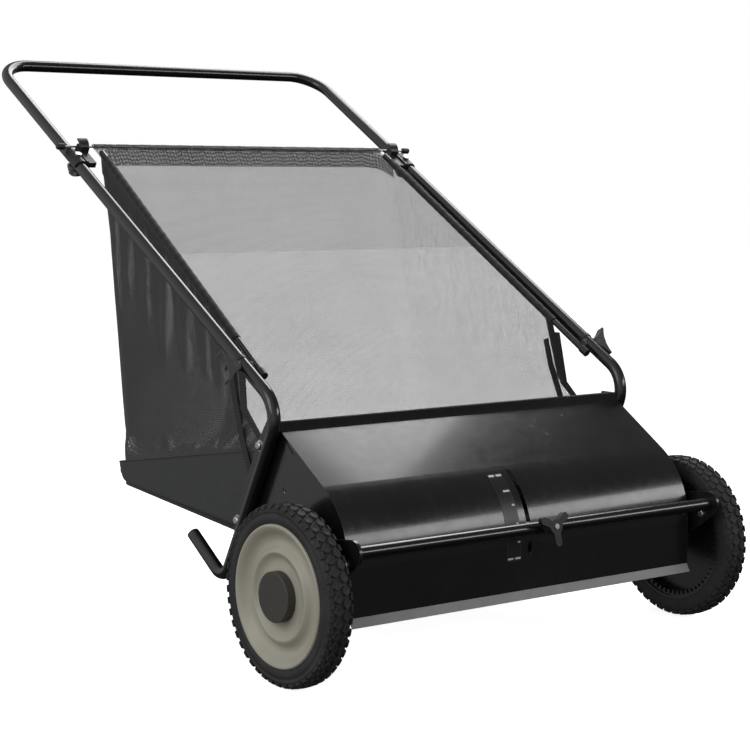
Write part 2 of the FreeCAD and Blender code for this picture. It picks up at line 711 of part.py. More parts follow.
def make_adjuster_bar():
    outer = doc.addObject("Part::Cylinder", "bar_outer")
    outer.setExpression("Radius", "Sizes.tube_radius")
    outer.setExpression("Height", "2 * Sizes.bar_half")
    bore = doc.addObject("Part::Cylinder", "bar_bore")
    bore.setExpression("Radius", "Sizes.tube_bore")
    bore.setExpression("Height", "2 * Sizes.bar_half")
    drill = doc.addObject("Part::Cylinder", "bar_drill")
    drill.setExpression("Radius", "Sizes.clamp_bolt + 0.1")
    drill.Height = 40
    turn = math.radians(size("bar_angle"))
    outward = Vector(-math.sin(turn), math.cos(turn), 0)
    middle = Vector(0, 0, size("bar_half"))
    drill.Placement = Placement(middle - outward * 20, Rotation(Vector(0, 0, 1), outward))
    tube = doc.addObject("Part::Cut", "bar_tube")
    tube.Base = outer
    tube.Tool = bore
    bar = doc.addObject("Part::Cut", "adjuster_bar")
    bar.Base = tube
    bar.Tool = drill
    bar.Placement = Placement(
        Vector(-size("bar_half"), size("axle_row_y") + BAR[0], BAR[1]), Rotation(Vector(0, 1, 0), 90))
    keep(bar, "adjuster_bar")


def radial_rod(radius, low, high):
    """Cylinder along the line from the brush shaft through the bar, at the middle plane."""
    start = polar(BRUSH, low, size("bar_angle"))
    outward = polar((0, 0), 1, size("bar_angle"))
    return Part.makeCylinder(radius, high - low, Vector(0, *start), Vector(0, *outward))


def radial_frame():
    """Placement whose Z runs along the clamp bolt and whose X stays across the machine."""
    turn = Rotation(Vector(1, 0, 0), size("bar_angle") - 90)
    return Placement(Vector(0, *BRUSH), turn)


def make_clamp():
    bolt_radius = size("clamp_bolt")
    bolt = radial_rod(bolt_radius, 121, 188.5).fuse(radial_rod(9.0, 118.9, 122.3)).removeSplitter()
    group("clamp_bolt", [bolt], row_place())
    pad_plate = Part.makeBox(30, 18, 3.5, Vector(-15, -9, 122.4))
    pad_plate.Placement = radial_frame().multiply(pad_plate.Placement)
    group("clamp_pad", [pad_plate.cut(radial_rod(bolt_radius, 120, 128))], row_place())
    spacer = radial_rod(7.5, 128.9, 150.2).cut(radial_rod(bolt_radius, 128, 151))
    group("clamp_spacer", [spacer], row_place())


def make_adjuster_knob():
    """Three-lobed knob on the clamp bolt, in front of the bar."""
    bore = size("clamp_bolt") + size("running_gap")
    knob = radial_rod(10.0, 169.8, 178.0).fuse(radial_rod(11.0, 177.0, 187.0))
    for turn in (35, 155, 275):
        lobe = Part.makeBox(23, 11, 8, Vector(0, -5.5, 178.5))
        tip = Part.makeCylinder(5.5, 8, Vector(23, 0, 178.5), Vector(0, 0, 1))
        lobe = lobe.fuse(tip)
        lobe.rotate(Vector(0, 0, 0), Vector(0, 0, 1), turn)
        lobe.Placement = radial_frame().multiply(lobe.Placement)
        knob = knob.fuse(lobe)
    group("adjuster_knob", [knob.cut(radial_rod(bore, 160, 200)).removeSplitter()], row_place())


def make_stub_axles():
    shaft = size("shaft_radius")
    body = turned_body("stub_axle_left", row_place(*AXLE), [
        (-336.5, 0), (-336.5, 12), (-ARM_INNER, 12), (-ARM_INNER, shaft),
        (-ARM_OUTER, shaft), (-ARM_OUTER, 13), (-348, 13), (-348, shaft),
        (-399, shaft), (-399, 0),
    ])
    mirrored(body, "stub_axle_right")
    washers, bolts = [], []
    for side in (-1, 1):
        washers.append(ring_x(14, shaft, side * 390.6, side * 392.4, AXLE))
        nut = Part.makeCylinder(1, 1)
        corners = [Vector(side * 392.4, *polar(AXLE, 13, 60 * k)) for k in range(6)]
        nut = Part.Face(Part.makePolygon(corners + corners[:1])).extrude(Vector(side * 6, 0, 0))
        washers.append(nut.cut(rod_x(shaft, side * 390, side * 400, AXLE)))
        place = arm_bolt_place()
        shank = rod_x(3.0, side * ARM_INNER, side * ARM_OUTER, place)
        inner = round_head(6.0, 4.0, side * ARM_INNER, -side, place)
        outer = round_head(6.0, 4.0, side * ARM_OUTER, side, place)
        bolts.append(shank.fuse([inner, outer]).removeSplitter())
    group("axle_retainers", washers, row_place())
    group("arm_bolts", bolts, row_place())


# ---------------------------------------------------------------- wheels

def make_tyres():
    body = new_body("tyre_left", row_place(*AXLE))
    section = new_sketch(body, "XY_Plane", "tyre_section")
    inner, outer = -size("tyre_inner_x"), -size("tyre_outer_x")
    seat, crown, bend = size("tyre_seat"), size("wheel_radius"), size("tyre_shoulder")
    wall = crown - bend
    draw_chain(section, [
        line((inner - 1.5, seat), (outer + 1.5, seat)),
        line((outer + 1.5, seat), (outer, seat + 3)),
        line((outer, seat + 3), (outer, wall)),
        arc((outer + bend, wall), bend, 180, 90, "Sizes.tyre_shoulder"),
        line((outer + bend, crown), (inner - bend, crown)),
        arc((inner - bend, wall), bend, 90, 0, "Sizes.tyre_shoulder"),
        line((inner, wall), (inner, seat + 3)),
        line((inner, seat + 3), (inner - 1.5, seat)),
    ])
    revolve(body, section, "tyre_turning")
    mirrored(body, "tyre_right")


def make_rims():
    """Rim with hub, web and, inside its inner end, the ring gear."""
    module = size("gear_module")
    pitch = module * size("ring_teeth") / 2
    root = pitch + 1.2 * module
    seat = size("tyre_seat")
    hub_bore = size("shaft_radius") + size("running_gap")
    body = turned_body("wheel_rim_left", row_place(*AXLE), [
        (-349.5, hub_bore), (-349.5, 20), (-381.5, 20), (-381.5, root), (-364, root),
        (-364, 96), (-361, 96), (-361, seat), (-396.6, seat), (-396.6, 96), (-385, 96),
        (-385, 20), (-390, 20), (-390, hub_bore),
    ])
    tooth = new_sketch(body, "YZ_Plane", "ring_tooth", -381.0)
    tip = pitch - 0.85 * module
    step = 360.0 / size("ring_teeth")
    turn = size("mesh_angle") + step / 2
    half_tip, half_root = 1.25, 3.3
    corners = []
    for radius, half in ((root + 0.6, -half_root), (tip, -half_tip), (tip, half_tip), (root + 0.6, half_root)):
        side = math.degrees(half / radius)
        corners.append(polar((0, 0), radius, turn + side))
    draw_chain(tooth, closed_lines(corners))
    first = pad(body, tooth, "ring_tooth_pad", 17)
    teeth = body.newObject("PartDesign::PolarPattern", "ring_gear")
    teeth.Originals = [first]
    teeth.Axis = (origin_feature(body, "X_Axis"), [""])
    teeth.Angle = 360
    teeth.setExpression("Occurrences", "Sizes.ring_teeth")
    body.Tip = teeth
    doc.recompute()
    mirrored(body, "wheel_rim_right")


COVER_FACE = [(98.8, 398.4), (97.0, 400.6), (92.0, 399.0), (84.0, 391.5), (76.0, 388.2),
              (69.0, 390.0), (64.0, 395.0), (60.5, 396.6), (56.0, 394.0), (50.0, 391.0),
              (42.0, 391.0), (35.0, 391.6)]


def make_wheel_covers():
    """Dished plastic disc with a raised ring, and the cap that closes the hub."""
    wall = 1.6
    front = Part.BSplineCurve()
    front.interpolate([Vector(-x, r, 0) for r, x in COVER_FACE])
    back = Part.BSplineCurve()
    back.interpolate([Vector(-x + wall, r, 0) for r, x in COVER_FACE])
    ends = []
    for r, x in (COVER_FACE[0], COVER_FACE[-1]):
        ends.append(Part.makeLine(Vector(-x, r, 0), Vector(-x + wall, r, 0)))
    wire = Part.Wire(Part.__sortEdges__([front.toShape(), back.toShape()] + ends))
    disc = Part.Face(wire).revolve(Vector(0, 0, 0), Vector(1, 0, 0), 360)
    cover = group("wheel_cover_left", [disc], row_place(*AXLE))
    mirrored(cover, "wheel_cover_right")
    cap = turned_body("hub_cap_left", row_place(*AXLE), [
        (-391.8, 33), (-391.8, 34.9), (-404, 34.9), (-405, 34), (-405, 0), (-403, 0), (-403, 33),
    ])
    mirrored(cap, "hub_cap_right")


# ---------------------------------------------------------------- brush

def pinion_solid(x0, x1):
    module = size("gear_module")
    teeth = int(size("pinion_teeth"))
    pitch = module * teeth / 2
    outline = []
    for k in range(teeth):
        middle = size("mesh_angle") + 360.0 * k / teeth
        for radius, half in ((pitch - 1.25 * module, -3.1), (pitch + 0.8 * module, -1.1),
                             (pitch + 0.8 * module, 1.1), (pitch - 1.25 * module, 3.1)):
            outline.append(polar((0, 0), radius, middle + math.degrees(half / radius)))
    body = side_prism(outline, x0, x1)
    return body.cut(rod_x(size("shaft_radius"), x0, x1))


def make_brush():
    shaft = doc.addObject("Part::Cylinder", "brush_shaft")
    shaft.setExpression("Radius", "Sizes.shaft_radius")
    shaft.Height = 2 * 380.5
    shaft.Placement = Placement(
        Vector(-380.5, size("axle_row_y") + BRUSH[0], BRUSH[1]), Rotation(Vector(0, 1, 0), 90))
    keep(shaft, "brush_shaft")
    radius = size("shaft_radius")
    spacers = []
    for side, name in ((-1, "left"), (1, "right")):
        group(f"pinion_{name}", [pinion_solid(side * 364.0, side * 378.0)], row_place(*BRUSH))
        spacers.append(ring_x(12, radius, side * 346.4, side * 363.8))
    group("shaft_spacers", spacers, row_place(*BRUSH))
    hubs, holders, strips = [], [], []
    half = size("bristle_half")
    for x in (-290, -97, 97, 290):
        hubs.append(ring_x(38, radius, x - 1.5, x + 1.5))
    for k in range(4):
        turn = 45 + 90 * k
        channel = Part.makeBox(2 * half, 14, 12, Vector(-half, -7, 38))
        channel = channel.cut(Part.makeBox(2 * half, 10, 10, Vector(-half, -5, 41)))
        corners = [Vector(-half, -4.9, 41.1), Vector(-half, 4.9, 41.1), Vector(-half, 4.9, 52),
                   Vector(-half, 11, size("brush_radius") - 1), Vector(-half, -11, size("brush_radius") - 1),
                   Vector(-half, -4.9, 52)]
        strip = Part.Face(Part.makePolygon(corners + corners[:1])).extrude(Vector(2 * half, 0, 0))
        for solid, bag in ((channel, holders), (strip, strips)):
            solid.rotate(Vector(0, 0, 0), Vector(1, 0, 0), turn)
            bag.append(solid)
    group("brush_hubs", hubs, row_place(*BRUSH))
    group("brush_holders", holders, row_place(*BRUSH))
    group("bristle_strips", strips, row_place(*BRUSH))


# ---------------------------------------------------------------- hopper

FLOOR = [(207, 181), (548, 214)]
MESH_SIDE = FLOOR + [(665.0, 739.0), (222, 455), (196, 357), (150, 318)]
TRAY_SIDE = [FLOOR[0], (531, 212.4), (555, 234), MESH_SIDE[2], MESH_SIDE[5]]
SEAM = [(100, 312.0), (620, 232.9)]
SIDE_ROD = [(315.5, 148.4, 409.3), (289.0, 646.0, 731.9)]


def hopper_x(point):
    """Half width of the hopper: it narrows evenly from its floor to its top rod."""
    (ay, az), (by, bz) = FLOOR
    run = math.hypot(by - ay, bz - az)

    def above(p):
        return ((by - ay) * (p[1] - az) - (bz - az) * (p[0] - ay)) / run

    share = above(point) / above(MESH_SIDE[2])
    return size("hopper_half") - (size("hopper_half") - size("hopper_top_half")) * share


def shifted_outline(points, shifts):
    """Moves each edge of a closed (y, z) outline inwards by its own shift."""
    count = len(points)
    edges = []
    for k in range(count):
        (y0, z0), (y1, z1) = points[k], points[(k + 1) % count]
        run = math.hypot(y1 - y0, z1 - z0)
        direction = ((y1 - y0) / run, (z1 - z0) / run)
        normal = (-direction[1], direction[0])
        start = (y0 + normal[0] * shifts[k], z0 + normal[1] * shifts[k])
        edges.append((start, direction))
    corners = []
    for k in range(count):
        (p, d), (q, e) = edges[k - 1], edges[k]
        cross = d[0] * e[1] - d[1] * e[0]
        t = ((q[0] - p[0]) * e[1] - (q[1] - p[1]) * e[0]) / cross
        corners.append((p[0] + d[0] * t, p[1] + d[1] * t))
    return corners


def hopper_block(points, narrower, corner):
    """Solid between both sides of the hopper, rounded where the rear meets the sides."""
    wires = []
    for side in (-1, 1):
        ring = [Vector(side * (hopper_x(p) - narrower), p[0], p[1]) for p in points]
        wires.append(Part.makePolygon(ring + ring[:1]))
    block = Part.makeLoft(wires, True, True)
    rear = [e for e in block.Edges if rear_edge(e)]
    return block.makeFillet(corner, rear)


def rear_edge(edge):
    """True for the upright edges between the rear panel and the side panels."""
    box = edge.BoundBox
    return box.Center.y > 520 and abs(box.Center.x) > 200 and box.XLength < 100 and box.ZLength > 15


def hopper_shell(points, closed_edges, corner):
    """Walls of the hopper. The first edges of the outline are closed, the others stay open."""
    wall = size("hopper_wall")
    outer = hopper_block(points, 0.0, corner)
    shifts = [wall] * closed_edges + [-8.0] * (len(points) - closed_edges)
    inner = hopper_block(shifted_outline(points, shifts), wall, corner - wall)
    return outer.cut(inner)


def below_seam():
    return side_prism(SEAM + [(620, 100), (100, 100)], -400, 400)


def rod_between(radius, start, end):
    run = Vector(*end) - Vector(*start)
    return Part.makeCylinder(radius, run.Length, Vector(*start), run)


def make_hopper():
    """Stiff tray below, mesh above it, with hems that hold the top rod and the side rods."""
    slot = rod_x(size("rod_radius") + 0.6, -400, 400, TIE_RODS["lower_tie_rod"])
    y, z = TIE_RODS["lower_tie_rod"]
    reach = (size("rod_radius") + 0.6) / math.sqrt(2)
    slot = slot.fuse(side_prism([
        (y - reach, z + reach), (y - reach - 60, z + reach - 60),
        (y + reach - 60, z - reach - 60), (y + reach, z - reach)], -400, 400))
    tray = hopper_shell(TRAY_SIDE, 3, 9.0).common(below_seam()).cut(slot)
    group("hopper_tray", [tray.removeSplitter()], row_place())
    mesh = hopper_shell(MESH_SIDE, 2, 34.0).cut(below_seam()).cut(rod_x(4.0, -400, 400, TOP_ROD))
    sleeves = [ring_x(5.0, size("top_rod") + 0.05, -287, 287, TOP_ROD)]
    rods, caps = [], []
    for side in (-1, 1):
        low, high = [Vector(side * x, y, z) for x, y, z in SIDE_ROD]
        run = (high - low).normalize()
        hem_start = low + run * 89.0
        hem_end = high - run * 34.0
        void = rod_between(size("side_rod") + 0.05, low, high + run * 20)
        mesh = mesh.cut(void)
        sleeves.append(rod_between(size("side_rod") + 1.6, hem_start, hem_end).cut(void))
        rods.append(rod_between(size("side_rod"), low + run * 4, high))
        cap = rod_between(size("side_rod") + 1.4, low, low + run * 14)
        caps.append(cap.cut(rod_between(size("side_rod"), low + run * 4, high)))
    mesh = mesh.fuse(sleeves)
    group("hopper_mesh", [mesh.removeSplitter()], row_place())
    group("hopper_side_rods", rods, row_place())
    group("side_rod_caps", caps, row_place())
    rod = doc.addObject("Part::Cylinder", "hopper_top_rod")
    rod.setExpression("Radius", "Sizes.top_rod")
    rod.setExpression("Height", "2 * Sizes.top_rod_half")
    rod.Placement = Placement(
        Vector(-size("top_rod_half"), size("axle_row_y") + TOP_ROD[0], TOP_ROD[1]),
        Rotation(Vector(0, 1, 0), 90))
    keep(rod, "hopper_top_rod")
    knobs = []
    for side in (-1, 1):
        nut = rod_x(5.2, side * 345, side * 359, TOP_ROD)
        nut = nut.makeFillet(2.0, [e for e in nut.Edges if len(e.Vertexes) == 1])
        knobs.append(nut.cut(rod_x(size("top_rod"), side * 340, side * size("top_rod_half"), TOP_ROD)))
    group("top_rod_nuts", knobs, row_place())


def make_hopper_frame():
    """Wire frame on the hopper's floor, with plate hooks over the lower tie rod."""
    (ay, az), (by, bz) = FLOOR
    tilt = math.degrees(math.atan2(bz - az, by - ay))
    lift = size("hopper_wall") + size("wire_radius") + 0.2
    body = new_body("hopper_floor_frame", row_place(ay, az, Rotation(Vector(1, 0, 0), tilt)))
    path = new_sketch(body, "XY_Plane", "frame_path", lift)
    half = size("hopper_half") - 8.0
    depth = math.hypot(by - ay, bz - az) - 30.0
    runs = [
        (depth - 4.0, -90, 32.0, None),
        (2 * half, -90, 32.0, None),
        (depth - 4.0, 0, 0, None),
    ]
    draw_chain(path, bent_path((-half, 4.0), 90, runs), closed=False)
    ring = new_sketch(body, "XZ_Plane", "frame_ring", -4.0)
    draw_circle(ring, (-half, lift), size("wire_radius"), "wire", "Sizes.wire_radius")
    doc.recompute()
    pipe = body.newObject("PartDesign::AdditivePipe", "frame_pipe")
    pipe.Profile = ring
    pipe.Spine = path
    doc.recompute()
    rod_y, rod_z = TIE_RODS["lower_tie_rod"]
    hooks = []
    for x in (-270, -90, 90, 270):
        curl = ring_x(8.0, size("rod_radius") + 0.3, x - 8, x + 8, (rod_y, rod_z))
        keepout = side_prism([(rod_y + 30, rod_z - 30), (rod_y - 30, rod_z + 30), (rod_y - 40, rod_z - 40)],
                             x - 9, x + 9)
        foot_z = az + 3.4 + (rod_y + 6 - ay) * (bz - az) / (by - ay)
        stem = Part.makeBox(16, 3.7, rod_z - foot_z, Vector(x - 8, rod_y + 4.3, foot_z))
        sole = Part.makeBox(16, 24, 2.5, Vector(x - 8, rod_y + 4.3, foot_z + 0.5))
        sole.rotate(Vector(x, rod_y + 4.3, foot_z), Vector(1, 0, 0), tilt)
        hooks.append(curl.cut(keepout).fuse([stem, sole]).removeSplitter())
    group("hopper_hooks", hooks, row_place())


def make_straps():
    """Webbing on the outside of each hopper side: a stay behind the front edge and an edge band."""
    stay = [(247, 426), (237, 383), (209, 313), (181.5, 260), (176, 233), (165, 233), (170.5, 264), (198, 319),
            (226, 389), (236, 429)]
    edge_band = [(222, 440), (209, 357), (160, 316), (152, 321), (194, 360), (208, 440)]
    straps = []
    for side in (-1, 1):
        for outline in (stay, edge_band):
            corners = [Vector(side * (hopper_x(p) + 0.3), *p) for p in outline]
            face = Part.Face(Part.makePolygon(corners + corners[:1]))
            straps.append(face.extrude(Vector(side * 1.4, 0, 0)))
    group("hopper_straps", straps, row_place())


# ---------------------------------------------------------------- build, check and write

make_cover()
make_side_plates()
make_front_lip()
make_height_scale()
make_tie_rods()
make_bearings()
make_legs()
make_handle()
make_tube_joints()
make_joint_knobs()
make_rod_clips()
make_adjuster_arms()
make_adjuster_bar()
make_clamp()
make_adjuster_knob()
make_stub_axles()
make_tyres()
make_rims()
make_wheel_covers()
make_brush()
make_hopper()
make_hopper_frame()
make_straps()
doc.recompute()

for obj in doc.Objects:
    if "Invalid" in obj.State or "Error" in obj.State:
        raise RuntimeError(f"{obj.Name} did not compute: {obj.State}")
for obj in parts:
    if obj.Shape.isNull() or not obj.Shape.isValid():
        raise RuntimeError(f"{obj.Label} has no valid shape")
    if not obj.Shape.Solids:
        raise RuntimeError(f"{obj.Label} holds no solid")

os.makedirs("parts", exist_ok=True)
for obj in parts:
    obj.Shape.exportStep(f"parts/{obj.Label}.step")
print(f"{len(parts)} nodes written")
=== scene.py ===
import math
import random

import bmesh
import bpy
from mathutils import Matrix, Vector


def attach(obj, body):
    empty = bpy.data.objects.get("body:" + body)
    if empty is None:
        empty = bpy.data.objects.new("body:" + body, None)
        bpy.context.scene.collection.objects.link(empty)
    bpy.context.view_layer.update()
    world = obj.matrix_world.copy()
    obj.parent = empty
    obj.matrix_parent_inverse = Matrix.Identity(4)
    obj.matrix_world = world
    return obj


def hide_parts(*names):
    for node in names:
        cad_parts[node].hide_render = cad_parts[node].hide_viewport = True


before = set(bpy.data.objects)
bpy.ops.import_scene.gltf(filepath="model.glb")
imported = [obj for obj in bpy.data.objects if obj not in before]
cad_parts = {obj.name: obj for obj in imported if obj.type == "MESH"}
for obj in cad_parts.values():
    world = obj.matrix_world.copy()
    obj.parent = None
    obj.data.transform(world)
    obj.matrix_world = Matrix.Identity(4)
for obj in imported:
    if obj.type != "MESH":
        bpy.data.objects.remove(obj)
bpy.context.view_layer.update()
scene = bpy.context.scene

# Profiles are drawn from the wheel axle in millimetres: y rearwards, z up from the floor.
AXLE_Y = -402.95
AXLE = (0.0, 127.0)
MESH_ANGLE = math.radians(31.79)
BRUSH = (72 * math.cos(MESH_ANGLE), 127 + 72 * math.sin(MESH_ANGLE))


def row(x, y, z):
    return Vector((x, y + AXLE_Y, z)) / 1000


def lerp(a, b, t):
    return a + (b - a) * t


# ---------------------------------------------------------------- camera

camera_data = bpy.data.cameras.new("camera")
camera = bpy.data.objects.new("camera", camera_data)
scene.collection.objects.link(camera)
camera.location = (-1.8943, -2.56095, 0.6810)
camera.rotation_euler = (math.radians(90 - 5.517), 0, math.radians(-37.624))
camera_data.lens = 94.77
camera_data.sensor_width = 36
scene.camera = camera


# ---------------------------------------------------------------- node helpers

class Nodes:
    """Short way to write a shader: each call adds one node and returns its first output."""

    def __init__(self, name):
        self.material = bpy.data.materials.new(name)
        self.material.use_nodes = True
        self.tree = self.material.node_tree
        self.shader = self.tree.nodes["Principled BSDF"]
        self.output = self.tree.nodes["Material Output"]

    def put(self, socket, value):
        if isinstance(value, bpy.types.NodeSocket):
            self.tree.links.new(value, socket)
        elif hasattr(value, "__len__") and len(value) == 3 and socket.type == "RGBA":
            socket.default_value = (*value, 1.0)
        else:
            socket.default_value = value

    def node(self, kind, inputs=(), **settings):
        made = self.tree.nodes.new(kind)
        for key, value in settings.items():
            setattr(made, key, value)
        for key, value in dict(inputs).items():
            self.put(made.inputs[key], value)
        return made

    def place(self, kind="Object"):
        return self.node("ShaderNodeTexCoord").outputs[kind]

    def math(self, operation, a, b=0.0):
        made = self.node("ShaderNodeMath", {0: a, 1: b}, operation=operation)
        return made.outputs[0]

    def noise(self, scale, detail=4.0, roughness=0.55, stretch=None, distortion=0.0):
        at = self.place()
        if stretch:
            at = self.node("ShaderNodeMapping", {"Vector": at, "Scale": stretch}).outputs[0]
        made = self.node("ShaderNodeTexNoise", {
            "Vector": at, "Scale": scale, "Detail": detail, "Roughness": roughness,
            "Distortion": distortion})
        return made.outputs[0]

    def ramp(self, value, low, high, to_low=0.0, to_high=1.0):
        made = self.node("ShaderNodeMapRange", {
            "Value": value, "From Min": low, "From Max": high, "To Min": to_low, "To Max": to_high})
        return made.outputs[0]

    def mix(self, factor, a, b):
        made = self.node("ShaderNodeMix", data_type="RGBA")
        self.put(made.inputs[0], factor)
        self.put(made.inputs[6], a)
        self.put(made.inputs[7], b)
        return made.outputs[2]

    def bump(self, height, strength, distance):
        inputs = {"Height": height, "Strength": strength, "Distance": distance}
        return self.node("ShaderNodeBump", inputs).outputs[0]

    def edge_wear(self, radius=0.0015):
        """Bright along convex edges, from the difference of a bevelled normal and the true one."""
        soft = self.node("ShaderNodeBevel", {"Radius": radius}, samples=4).outputs[0]
        true = self.node("ShaderNodeNewGeometry").outputs["Normal"]
        dot = self.node("ShaderNodeVectorMath", {0: soft, 1: true}, operation="DOT_PRODUCT")
        return self.ramp(dot.outputs["Value"], 0.995, 0.86)

    def principled(self, **values):
        for key, value in values.items():
            self.put(self.shader.inputs[key.replace("_", " ")], value)
        return self.material


DUST = 0.012


def gloss_paint(name, tone, roughness):
    """Powder-coated or sprayed steel: orange peel, faint dust, brighter rubbed edges."""
    n = Nodes(name)
    peel = n.noise(420, 2.0, 0.5)
    cloud = n.noise(7, 5.0, 0.6)
    fine = n.noise(60, 4.0, 0.65)
    dusty = n.math("MULTIPLY", n.ramp(cloud, 0.45, 0.75), DUST)
    base = n.mix(dusty, tone, (0.35, 0.34, 0.32))
    base = n.mix(n.math("MULTIPLY", n.edge_wear(0.0009), 0.10), base, (0.28, 0.28, 0.28))
    rough = n.math("ADD", n.ramp(fine, 0.3, 0.7, roughness * 0.82, roughness * 1.25),
                   n.ramp(cloud, 0.4, 0.7, 0.0, 0.05))
    return n.principled(
        Base_Color=base, Roughness=rough, Specular_IOR_Level=0.55,
        Coat_Weight=0.45, Coat_Roughness=0.09, Normal=n.bump(peel, 0.10, 0.0003))


def metal(name, tone, roughness, stretch=(1, 1, 1)):
    """Zinc-plated steel: faint spangle, drawn lines and dulled patches."""
    n = Nodes(name)
    lines = n.noise(300, 4.0, 0.6, stretch=stretch)
    patch = n.noise(26, 4.0, 0.6)
    base = n.mix(n.ramp(patch, 0.3, 0.7), tone, tuple(c * 0.72 for c in tone))
    base = n.mix(n.math("MULTIPLY", n.edge_wear(0.0008), 0.5), base, (0.8, 0.8, 0.8))
    rough = n.ramp(lines, 0.25, 0.75, roughness * 0.7, roughness * 1.35)
    return n.principled(Base_Color=base, Metallic=1.0, Roughness=rough, Normal=n.bump(lines, 0.12, 0.0002))


def plastic(name, tone, roughness, grain=900, bump=0.25, mottle=0.12, light=(0.3, 0.3, 0.3),
            subsurface=0.0):
    """Moulded plastic: fine grain, slight flow mottling, paler rubbed corners."""
    n = Nodes(name)
    fine = n.noise(grain, 3.0, 0.6)
    flow = n.noise(18, 4.0, 0.55, distortion=1.2)
    base = n.mix(n.ramp(flow, 0.3, 0.7), tone, tuple(c * (1 - mottle) for c in tone))
    base = n.mix(n.math("MULTIPLY", n.edge_wear(), 0.22), base, light)
    rough = n.math("ADD", n.ramp(fine, 0.3, 0.7, roughness - 0.05, roughness + 0.07),
                   n.ramp(flow, 0.3, 0.7, -0.03, 0.04))
    values = dict(Base_Color=base, Roughness=rough, Normal=n.bump(fine, bump, 0.00025))
    if subsurface:
        values.update(Subsurface_Weight=subsurface, Subsurface_Scale=0.004)
    return n.principled(**values)


def rubber(name):
    """Tyre rubber: dusty in the grooves, blooming towards grey, fine moulding grain."""
    n = Nodes(name)
    grain = n.noise(700, 4.0, 0.7)
    bloom = n.noise(14, 5.0, 0.65)
    pits = n.noise(240, 3.0, 0.5)
    base = n.mix(n.ramp(bloom, 0.35, 0.72), (0.020, 0.020, 0.021), (0.040, 0.040, 0.042))
    base = n.mix(n.math("MULTIPLY", n.edge_wear(0.001), 0.35), base, (0.10, 0.10, 0.10))
    rough = n.ramp(pits, 0.3, 0.7, 0.55, 0.78)
    height = n.math("ADD", grain, n.math("MULTIPLY", pits, 0.8))
    return n.principled(Base_Color=base, Roughness=rough, Specular_IOR_Level=0.45,
                        Normal=n.bump(height, 0.3, 0.0004))


NET_CLOSED = 1.02
NET_SLOPE = 1.655


def mesh_cloth(name, tone, opening, pitch, inner):
    """Knitted mesh: round yarns in two directions with holes between them.

    The holes close as the cloth is seen aslant, and by a different rule on each of its faces: opening
    for the outer face, inner for the inner one. That is tuned. Real net is equally open
    through either face.
    """
    n = Nodes(name)
    uv = n.node("ShaderNodeUVMap").outputs[0]
    split = n.node("ShaderNodeSeparateXYZ", {0: uv})
    waver = n.ramp(n.noise(30, 3.0, 0.5), 0.3, 0.7, -0.12, 0.12)
    turn = 2 * math.pi / pitch
    waves = []
    for axis in (0, 1):
        along = n.math("ADD", n.math("MULTIPLY", split.outputs[axis], turn), waver)
        waves.append(n.math("ABSOLUTE", n.math("SINE", n.math("MULTIPLY", along, 0.5))))
    hole = n.math("MINIMUM", waves[0], waves[1])
    facing = n.node("ShaderNodeLayerWeight", {"Blend": 0.5}).outputs["Facing"]
    patch = n.ramp(n.noise(9, 4.0, 0.55), 0.3, 0.7, -0.015, 0.015)
    outside = n.ramp(facing, 0.0, (NET_CLOSED - opening) / NET_SLOPE, opening, NET_CLOSED)
    inside = n.ramp(facing, 0.0, 1.0, inner, inner + 0.05)
    back = n.node("ShaderNodeNewGeometry").outputs["Backfacing"]
    side = n.node("ShaderNodeMix", {0: back, 2: inside, 3: outside}, data_type="FLOAT").outputs[0]
    edge = n.math("ADD", side, patch)
    cover = n.ramp(n.math("SUBTRACT", hole, edge), 0.04, -0.04)
    yarn = n.mix(n.ramp(n.noise(900, 3.0, 0.6), 0.3, 0.7), tone, tuple(min(1, c * 1.7) for c in tone))
    n.principled(
        Base_Color=yarn, Roughness=0.62, Sheen_Weight=0.35, Sheen_Roughness=0.4,
        Sheen_Tint=(0.6, 0.6, 0.62), Normal=n.bump(hole, 0.5, 0.0004))
    clear = n.node("ShaderNodeBsdfTransparent").outputs[0]
    both = n.node("ShaderNodeMixShader", {0: cover, 1: clear, 2: n.shader.outputs[0]}).outputs[0]
    n.put(n.output.inputs["Surface"], both)
    return n.material


def woven(name, tone, roughness, pitch, shine=0.3, ribs=1.0, bump=0.5, spread=1.8, axes=None):
    """Close-woven or ribbed cloth, from its UV in metres or from two object axes."""
    n = Nodes(name)
    at = n.place() if axes else n.node("ShaderNodeUVMap").outputs[0]
    split = n.node("ShaderNodeSeparateXYZ", {0: at})
    first, second = axes or (0, 1)
    turn = math.pi / pitch
    across = n.math("ABSOLUTE", n.math("SINE", n.math("MULTIPLY", split.outputs[first], turn)))
    along = n.math("ABSOLUTE", n.math("SINE", n.math("MULTIPLY", split.outputs[second], turn * ribs)))
    height = n.math("MULTIPLY", across, along)
    patch = n.noise(20, 5.0, 0.6)
    light = tuple(min(1, c * spread) for c in tone)
    # Colour follows the weave's height: painted shade in the hollows and painted light on the crowns, plus
    # random paler patches of the cloth's own tone.
    base = n.mix(n.ramp(n.math("ADD", n.math("MULTIPLY", height, 0.5), n.math("MULTIPLY", patch, 0.7)),
                        0.25, 0.85), tone, light)
    return n.principled(
        Base_Color=base, Roughness=n.ramp(patch, 0.3, 0.7, roughness - 0.06, roughness + 0.08),
        Sheen_Weight=shine, Sheen_Roughness=0.45, Normal=n.bump(height, bump, 0.0005))


def bristle_fibre(name):
    n = Nodes(name)
    tuft = n.noise(160, 2.0, 0.5)
    base = n.mix(n.ramp(tuft, 0.3, 0.7), (0.012, 0.012, 0.013), (0.05, 0.05, 0.052))
    return n.principled(Base_Color=base, Roughness=n.ramp(tuft, 0.3, 0.7, 0.35, 0.55))


